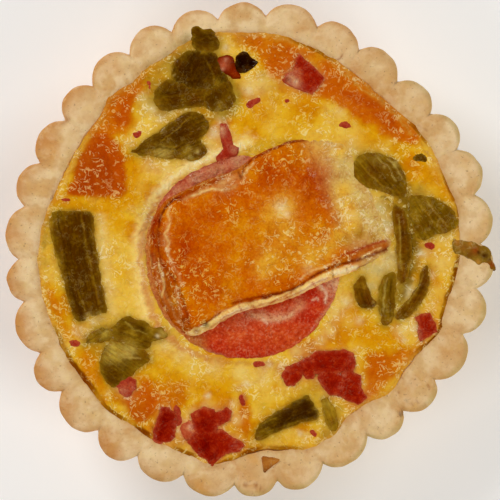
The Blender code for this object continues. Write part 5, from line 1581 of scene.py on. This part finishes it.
STALK_LINES = [
    ("olive", 1.0, 0.4, [(80, 214), (84, 240), (90, 270), (98, 304)]),
    ("deep", 0.9, 0.8, [(56, 212), (58, 226), (62, 242), (66, 262)]),
    ("deep", 1.2, 0.5, [(66, 216), (68, 244), (74, 276), (84, 308)]),
    ("moss", 0.9, 0.6, [(76, 290), (82, 304), (84, 312)]),
    ("deep", 1.4, 0.6, [(62, 240), (66, 270), (74, 300), (80, 314)]),
    ("deep", 1.3, 0.8, [(72, 322), (80, 324), (87, 321)]),
    ("olive", 0.8, 0.5, [(160, 140), (176, 128), (190, 116)]),
    ("olive", 1.0, 0.6, [(140, 148), (160, 146), (178, 146)]),
    ("deep", 1.0, 0.7, [(138, 148), (156, 146), (176, 148), (186, 142)]),
    ("olive", 0.8, 0.6, [(360, 162), (372, 176), (384, 186), (396, 190)]),
    ("straw", 0.8, 0.6, [(388, 158), (396, 166), (402, 178)]),
    ("straw", 0.7, 0.5, [(378, 156), (388, 166), (396, 180)]),
    ("deep", 0.8, 0.5, [(366, 160), (380, 174), (392, 186)]),
    ("olive", 0.7, 0.6, [(420, 204), (430, 216), (440, 228)]),
    ("pale", 0.6, 0.5, [(428, 202), (438, 214), (448, 226)]),
    ("deep", 0.8, 0.5, [(416, 206), (426, 220), (434, 230)]),
    ("pale", 0.8, 0.6, [(399, 214), (401, 236), (400, 258), (402, 270)]),
    ("deep", 1.0, 0.6, [(406, 212), (409, 236), (408, 258), (406, 272)]),
    ("straw", 0.8, 0.5, [(388, 278), (384, 292), (384, 312)]),
    ("deep", 1.0, 0.6, [(394, 276), (390, 292), (391, 316)]),
    ("dark", 0.9, 0.6, [(358, 286), (362, 296), (366, 306)]),
    ("deep", 1.2, 0.7, [(356, 302), (362, 307), (370, 307), (377, 303)]),
    ("pale", 0.8, 0.5, [(424, 274), (418, 288), (408, 302)]),
    ("moss", 0.9, 0.4, [(262, 434), (278, 428), (296, 422), (314, 418)]),
    ("olive", 0.8, 0.6, [(262, 424), (270, 420), (276, 418)]),
    ("pale", 0.9, 0.6, [(310, 397), (315, 406), (320, 416)]),
    ("deep", 0.9, 0.5, [(200, 56), (196, 72), (190, 84)]),
    ("moss", 1.0, 0.6, [(206, 60), (212, 72), (214, 82)]),
    ("moss", 1.0, 0.6, [(160, 96), (176, 94), (196, 92)]),
    ("pale", 0.8, 0.6, [(124, 322), (134, 330), (146, 334)]),
    ("dark", 1.0, 0.7, [(120, 332), (132, 338), (144, 346)]),
    ("straw", 0.9, 0.6, [(112, 352), (124, 358), (140, 358)]),
    ("moss", 0.9, 0.6, [(108, 366), (120, 372), (132, 372)]),
]
stalk_skin, tree, shader, colour = cooked("cooked_stalk", 300, 0.8, 640, 0.18, 0.0004, 0.3, 0.08)
flow = attribute(tree, "flow", "Vector")
fibres = noisy(tree, 1.0, 3, 0.3, 0.6, wire(tree, "ShaderNodeMapping", {
    "Vector": flow, "Scale": FIBRE_SCALE}).outputs["Vector"])
shade = stretched(tree, fibres, 0.3, 0.7, 0.76, 1.18)
colour = mixed(tree, 1.0, colour, grey(tree, shade), "MULTIPLY")
tree.links.new(colour, shader.inputs["Base Color"])
bumped(tree, shader, fibres, 0.0005)


def grain_along(piece, points, degrees):
    """Stores each vertex's place along and across the piece's own direction."""
    turn = math.radians(degrees)
    middle = points.mean(axis=0)
    along = (points - middle) @ np.array([math.cos(turn), math.sin(turn)])
    across = (points - middle) @ np.array([-math.sin(turn), math.cos(turn)])
    seed = np.full(len(points), middle[0] + middle[1])
    layer = piece.data.attributes.new("flow", "FLOAT_VECTOR", "POINT")
    layer.data.foreach_set("vector", np.stack([along, across, seed], axis=1).ravel())
    return across


def bed(points):
    """The height of what a topping lies on: the custard, or the rim where it reaches over."""
    heights = custard_heights(points)
    for index, (x, y) in enumerate(points):
        if math.hypot(x, y) > inner_wall(math.atan2(y, x), RIM_HEIGHT) - 0.2 * MM:
            hit, place, _, _ = crust.ray_cast((x, y, 2 * RIM_HEIGHT), (0, 0, -1))
            if hit:
                heights[index] = max(heights[index], place.z)
    return heights


# A topping before it is given its relief: how far its flat top is above the custard, how much
# wider it is than its outline, and how far its edge is below the custard
SLAB_RISE = 0.6 * MM
EDGE_SPARE = 0.4 * MM
EDGE_SUNK = 0.35 * MM


def laid_in(name, outline, rise, softness=0.55 * MM, foot=2.4 * MM, spread=0.0):
    """A topping held in the custard: its piece, its points, and how far inside its edge."""
    level = float(np.mean(custard_heights(outline)))
    top, foot = level + SLAB_RISE, level - foot
    middle = outline.mean(axis=0)
    across = np.hypot(*(outline - middle).T).mean()
    piece = slab(name, middle + (outline - middle) * (1 + EDGE_SPARE / across), top, foot,
                 0.26 * MM, 3)
    points = places(piece)[:, :2]
    warped = strayed(points)
    inside = depth_in(warped, outline) + spread
    inside += (0.2 * rough(points, 1.5 * MM, 9.0) + 0.12 * rough(points, 0.7 * MM, 4.0)) * MM
    share = 1 - near_edge(inside + 0.25 * MM, softness)
    heights = bed(points) - EDGE_SUNK + (rise * MM + EDGE_SUNK) * share
    return piece, points, warped, inside, heights, top, foot


for name, (degrees, rise, tone) in STALKS.items():
    stalk, points, warped, inside, heights, top, foot = laid_in(
        name + "_cooked", outlines[name], rise)
    across = grain_along(stalk, points, degrees)
    half = max(np.abs(across).max(), 1 * MM)
    heights += RIDGE_HEIGHT * np.cos(across / RIDGE_SIZE + rise * 9) * eased(inside / (1 * MM))
    heights -= HOLLOW_DEPTH * np.exp(-((across / half - 0.1) / 0.35) ** 2)
    heights += STALK_LUMPS * rough(points, 1.8 * MM, 3.0)
    raise_to(stalk, heights, top, foot)
    colours = one_colour(points, STALK_TONES[tone])
    colours = dabbed(colours, warped, STALK_DABS, STALK_TONES)
    colours = lined(colours, warped, STALK_LINES, STALK_TONES)
    tint(stalk, laid(colours, 0.75 * near_edge(inside, 0.45 * MM), STALK_TONES["olive"]))
    stalk.data.materials.append(stalk_skin)
    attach(stalk, "root")
    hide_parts(name)

# The ham
# Cured ham cut in small dice, dark crimson and moist, pressed into the custard before baking,
# some of it under a film of custard.
HAM_TONES = {
    "crimson": (152, 30, 10), "deep": (112, 10, 2), "pink": (186, 84, 52),
    "film": (206, 140, 104), "white": (230, 190, 160), "rose": (160, 50, 34),
}
HAM_MAIN = {"ham_08": "rose", "ham_10": "pink", "ham_14": "rose"}
# How far a die stands out, in millimetres
USUAL_RISE = 0.6
HAM_RISE = {"ham_08": 0.4, "ham_10": 0.25, "ham_14": 0.45}
# The small white dabs are partly fat and partly painted highlights on the wet film
HAM_DABS = [
    ("film", [(290, 76, 6, 0.9), (296, 84, 5, 0.9)]),
    ("pink", [(298, 72, 5, 0.7), (418, 322, 4, 0.5), (288, 366, 4, 0.4), (344, 374, 3, 0.6)]),
    ("deep", [(286, 78, 3.5, 0.8), (430, 328, 4, 0.4), (322, 366, 6, 0.6), (336, 362, 6, 0.3),
        (328, 384, 6, 0.5), (350, 392, 6, 0.5), (164, 418, 9, 0.8), (160, 432, 8, 0.6)]),
    ("white", [(296, 80, 2, 0.6)]),
    ("rose", [(303, 88, 4, 0.6), (352, 360, 5, 0.6), (338, 386, 4, 0.5), (310, 360, 4, 0.4),
        (174, 424, 4, 0.7)]),
    ("crimson", [(310, 74, 8, 0.5)]),
    ("film", [(417, 334, 4, 0.7)]),
    ("white", [(416, 330, 2, 0.7), (190, 428, 3, 0.5)]),
    ("pink", [(356, 372, 3, 0.5), (128, 388, 5, 0.6), (184, 434, 5, 0.6)]),
    ("film", [(122, 392, 4, 0.4), (222, 132, 4, 0.7)]),
    ("deep", [(204, 424, 7, 0.7), (204, 446, 10, 0.9), (212, 458, 5, 0.8)]),
    ("crimson", [(224, 442, 6, 0.5), (224, 150, 4, 0.7)]),
    ("rose", [(234, 446, 4, 0.6), (222, 418, 4, 0.5)]),
    ("pink", [(216, 430, 3, 0.4), (196, 414, 3, 0.4)]),
    ("film", [(234, 148, 4, 0.5)]),
    ("white", [(221, 128, 2, 0.5)]),
    ("rose", [(228, 138, 4, 0.5)]),
]
ham_meat = cooked("cured_ham", 700, 1.0, 620, 0.14, 0.0005, 0.4, 0.12)[0]
for name in sorted(mark for mark in outlines if mark.startswith("ham")):
    die, points, warped, inside, heights, top, foot = laid_in(
        name + "_cured", outlines[name], HAM_RISE.get(name, USUAL_RISE), 0.25 * MM,
        spread=0.15 * MM)
    heights += (0.3 * rough(points, 1.6 * MM, 5.0) + 0.2 * rough(points, 0.7 * MM, 1.0)) * MM
    raise_to(die, heights, top, foot)
    colours = one_colour(points, HAM_TONES[HAM_MAIN.get(name, "crimson")])
    colours = dabbed(colours, warped, HAM_DABS, HAM_TONES)
    tint(die, laid(colours, 0.7 * near_edge(inside, 0.3 * MM), HAM_TONES["pink"]))
    die.data.materials.append(ham_meat)
    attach(die, "root")
    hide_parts(name)

# The crumbs
# Scraps of ham and stalk too small to be pieces of their own, baked fast to the custard.
CRUMB_TONES = {"ham": ("rose", "pink", HAM_TONES), "stalk": ("dark", "olive", STALK_TONES)}
for kind, meat in (("ham", ham_meat), ("stalk", stalk_skin)):
    main, edge, tones = CRUMB_TONES[kind]
    group = []
    for number, marks in enumerate(CRUMB_OUTLINES[kind]):
        outline = rounded(seen(marks), 1)
        piece, points, warped, inside, heights, top, foot = laid_in(
            kind + "_crumb", outline, 0.18, 0.3 * MM, 1.2 * MM)
        raise_to(piece, heights + 0.15 * MM * rough(points, 0.8 * MM, 2.0), top, foot)
        colours = one_colour(points, tones[main])
        tint(piece, laid(colours, 0.7 * near_edge(inside, 0.3 * MM), tones[edge]))
        grain_along(piece, points, 30 * number)
        group.append(piece)
    bpy.ops.object.select_all(action="DESELECT")
    for piece in group:
        piece.select_set(True)
    bpy.context.view_layer.objects.active = group[0]
    if len(group) > 1:
        bpy.ops.object.join()
    crumbs = bpy.context.object
    crumbs.name = kind + "_crumbs"
    crumbs.data.materials.append(meat)
    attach(crumbs, "root")
    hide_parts("custard")

# The olive and the red pepper
# Half a black olive and a scrap of red pepper, side by side at the back.
GARNISH_TONES = {
    "black": (36, 16, 0), "ink": (18, 6, 0), "umber": (80, 44, 6), "pepper": (132, 40, 6),
    "pink": (190, 96, 62), "brown": (96, 28, 0), "glint": (214, 148, 112),
}
GARNISH = {
    "olive": ("black", "umber", "olive", [
        ("ink", [(238, 58, 5, 0.7), (250, 61, 4, 0.6)]),
        ("umber", [(246, 66, 3, 0.4), (240, 70, 3, 0.5)])]),
    "red_pepper": ("pepper", "brown", "pepper", [
        # The pink dab and the glint dabs on the pepper are painted highlights
        ("pink", [(223, 63, 4.5, 0.8)]), ("glint", [(222, 68, 2, 0.7), (225, 58, 2, 0.5)]),
        ("brown", [(231, 62, 4, 0.7), (228, 72, 4, 0.5)]), ("pepper", [(236, 74, 4, 0.6)])]),
}
for name, (main, edge, slot, dabs) in GARNISH.items():
    piece, points, warped, inside, heights, top, foot = laid_in(name + "_baked", outlines[name],
                                                                0.7, 0.4 * MM)
    heights += (0.25 * rough(points, 1.5 * MM, 6.0) + 0.12 * rough(points, 0.6 * MM, 1.0)) * MM
    raise_to(piece, heights, top, foot)
    colours = dabbed(one_colour(points, GARNISH_TONES[main]), warped, dabs, GARNISH_TONES)
    tint(piece, laid(colours, 0.6 * near_edge(inside, 0.3 * MM), GARNISH_TONES[edge]))
    piece.data.materials.append(cooked(name + "_flesh", 700, 0.5, 650, 0.1, 0.0004, 0.35)[0])
    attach(piece, "root")
    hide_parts(name)

# The burnt scrap and the flake
# A splash of filling burnt onto the rim at the right, and a flake of pastry that has lifted
# from the rim at the front.
SCRAP_TONES = {
    "brown": (150, 84, 30), "olive": (134, 100, 32), "dark": (64, 30, 10), "red": (140, 58, 20),
    "toast": (176, 108, 44), "amber": (196, 132, 54), "shadow": (104, 52, 16),
}
# How thick each is cut over and under its level, and how far it can sink to what it lies on
RIM_PIECE_OVER = 0.5 * MM
RIM_PIECE_UNDER = 0.9 * MM
RIM_PIECE_SAG = 0.6 * MM
# Each one's node, slot, main colour, level and rise in millimetres, outline and dabs
RIM_PIECES = {
    "burnt_scrap": ("baked_on_scrap", "scrap", "olive", 24.6, 0.25, [
        (452, 238), (458, 237), (466, 241), (474, 240), (480, 245), (487, 245), (493, 252),
        (491, 258), (496, 264), (497, 271), (491, 270), (489, 264), (483, 262), (479, 266),
        (474, 261), (467, 259), (461, 254), (454, 253)], [
        ("brown", [(463, 247, 5, 0.5)]), ("amber", [(470, 243, 3, 0.6)]),
        ("toast", [(458, 241, 4, 0.6)]), ("red", [(475, 250, 5, 0.8), (492, 264, 4, 0.8)]),
        ("shadow", [(470, 254, 3, 0.6)]),
        ("dark", [(479, 252, 2.6, 0.8), (485, 255, 3.4, 0.95), (490, 259, 2, 0.6)]),
        ("amber", [(478, 262, 2.4, 0.6)])]),
    "lifted_flake": ("crust", "pastry", "toast", 24.9, 0.5, [
        (260, 456), (270, 457), (281, 459), (276, 464), (270, 468), (263, 475), (262, 466)], [
        ("brown", [(264, 460, 5, 0.6)]), ("shadow", [(265, 471, 3, 0.8), (270, 467, 2.5, 0.6)]),
        ("amber", [(272, 460, 3, 0.4)])]),
}
for title, (node, slot, main, level, rise, marks, dabs) in RIM_PIECES.items():
    outline = rounded(seen(marks), 1)
    base = level * MM
    top, foot = base + RIM_PIECE_OVER, base - RIM_PIECE_UNDER
    piece = slab(title, outline, top, foot, 0.22 * MM, 2)
    points = places(piece)[:, :2]
    warped = strayed(points)
    inside = depth_in(warped, outline)
    below = np.maximum(bed(points), base - RIM_PIECE_SAG)
    heights = below - 0.15 * MM + (rise + 0.15) * MM * (1 - near_edge(inside, 0.3 * MM))
    heights += 0.15 * MM * rough(points, 1.2 * MM, 4.0)
    raise_to(piece, heights, top, foot)
    tint(piece, dabbed(one_colour(points, SCRAP_TONES[main]), warped, dabs, SCRAP_TONES))
    piece.data.materials.append(cooked(title, 520, 0.5, 600, 0.25, 0.0004, 0.2, 0.05)[0])
    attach(piece, "root")
    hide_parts(node)
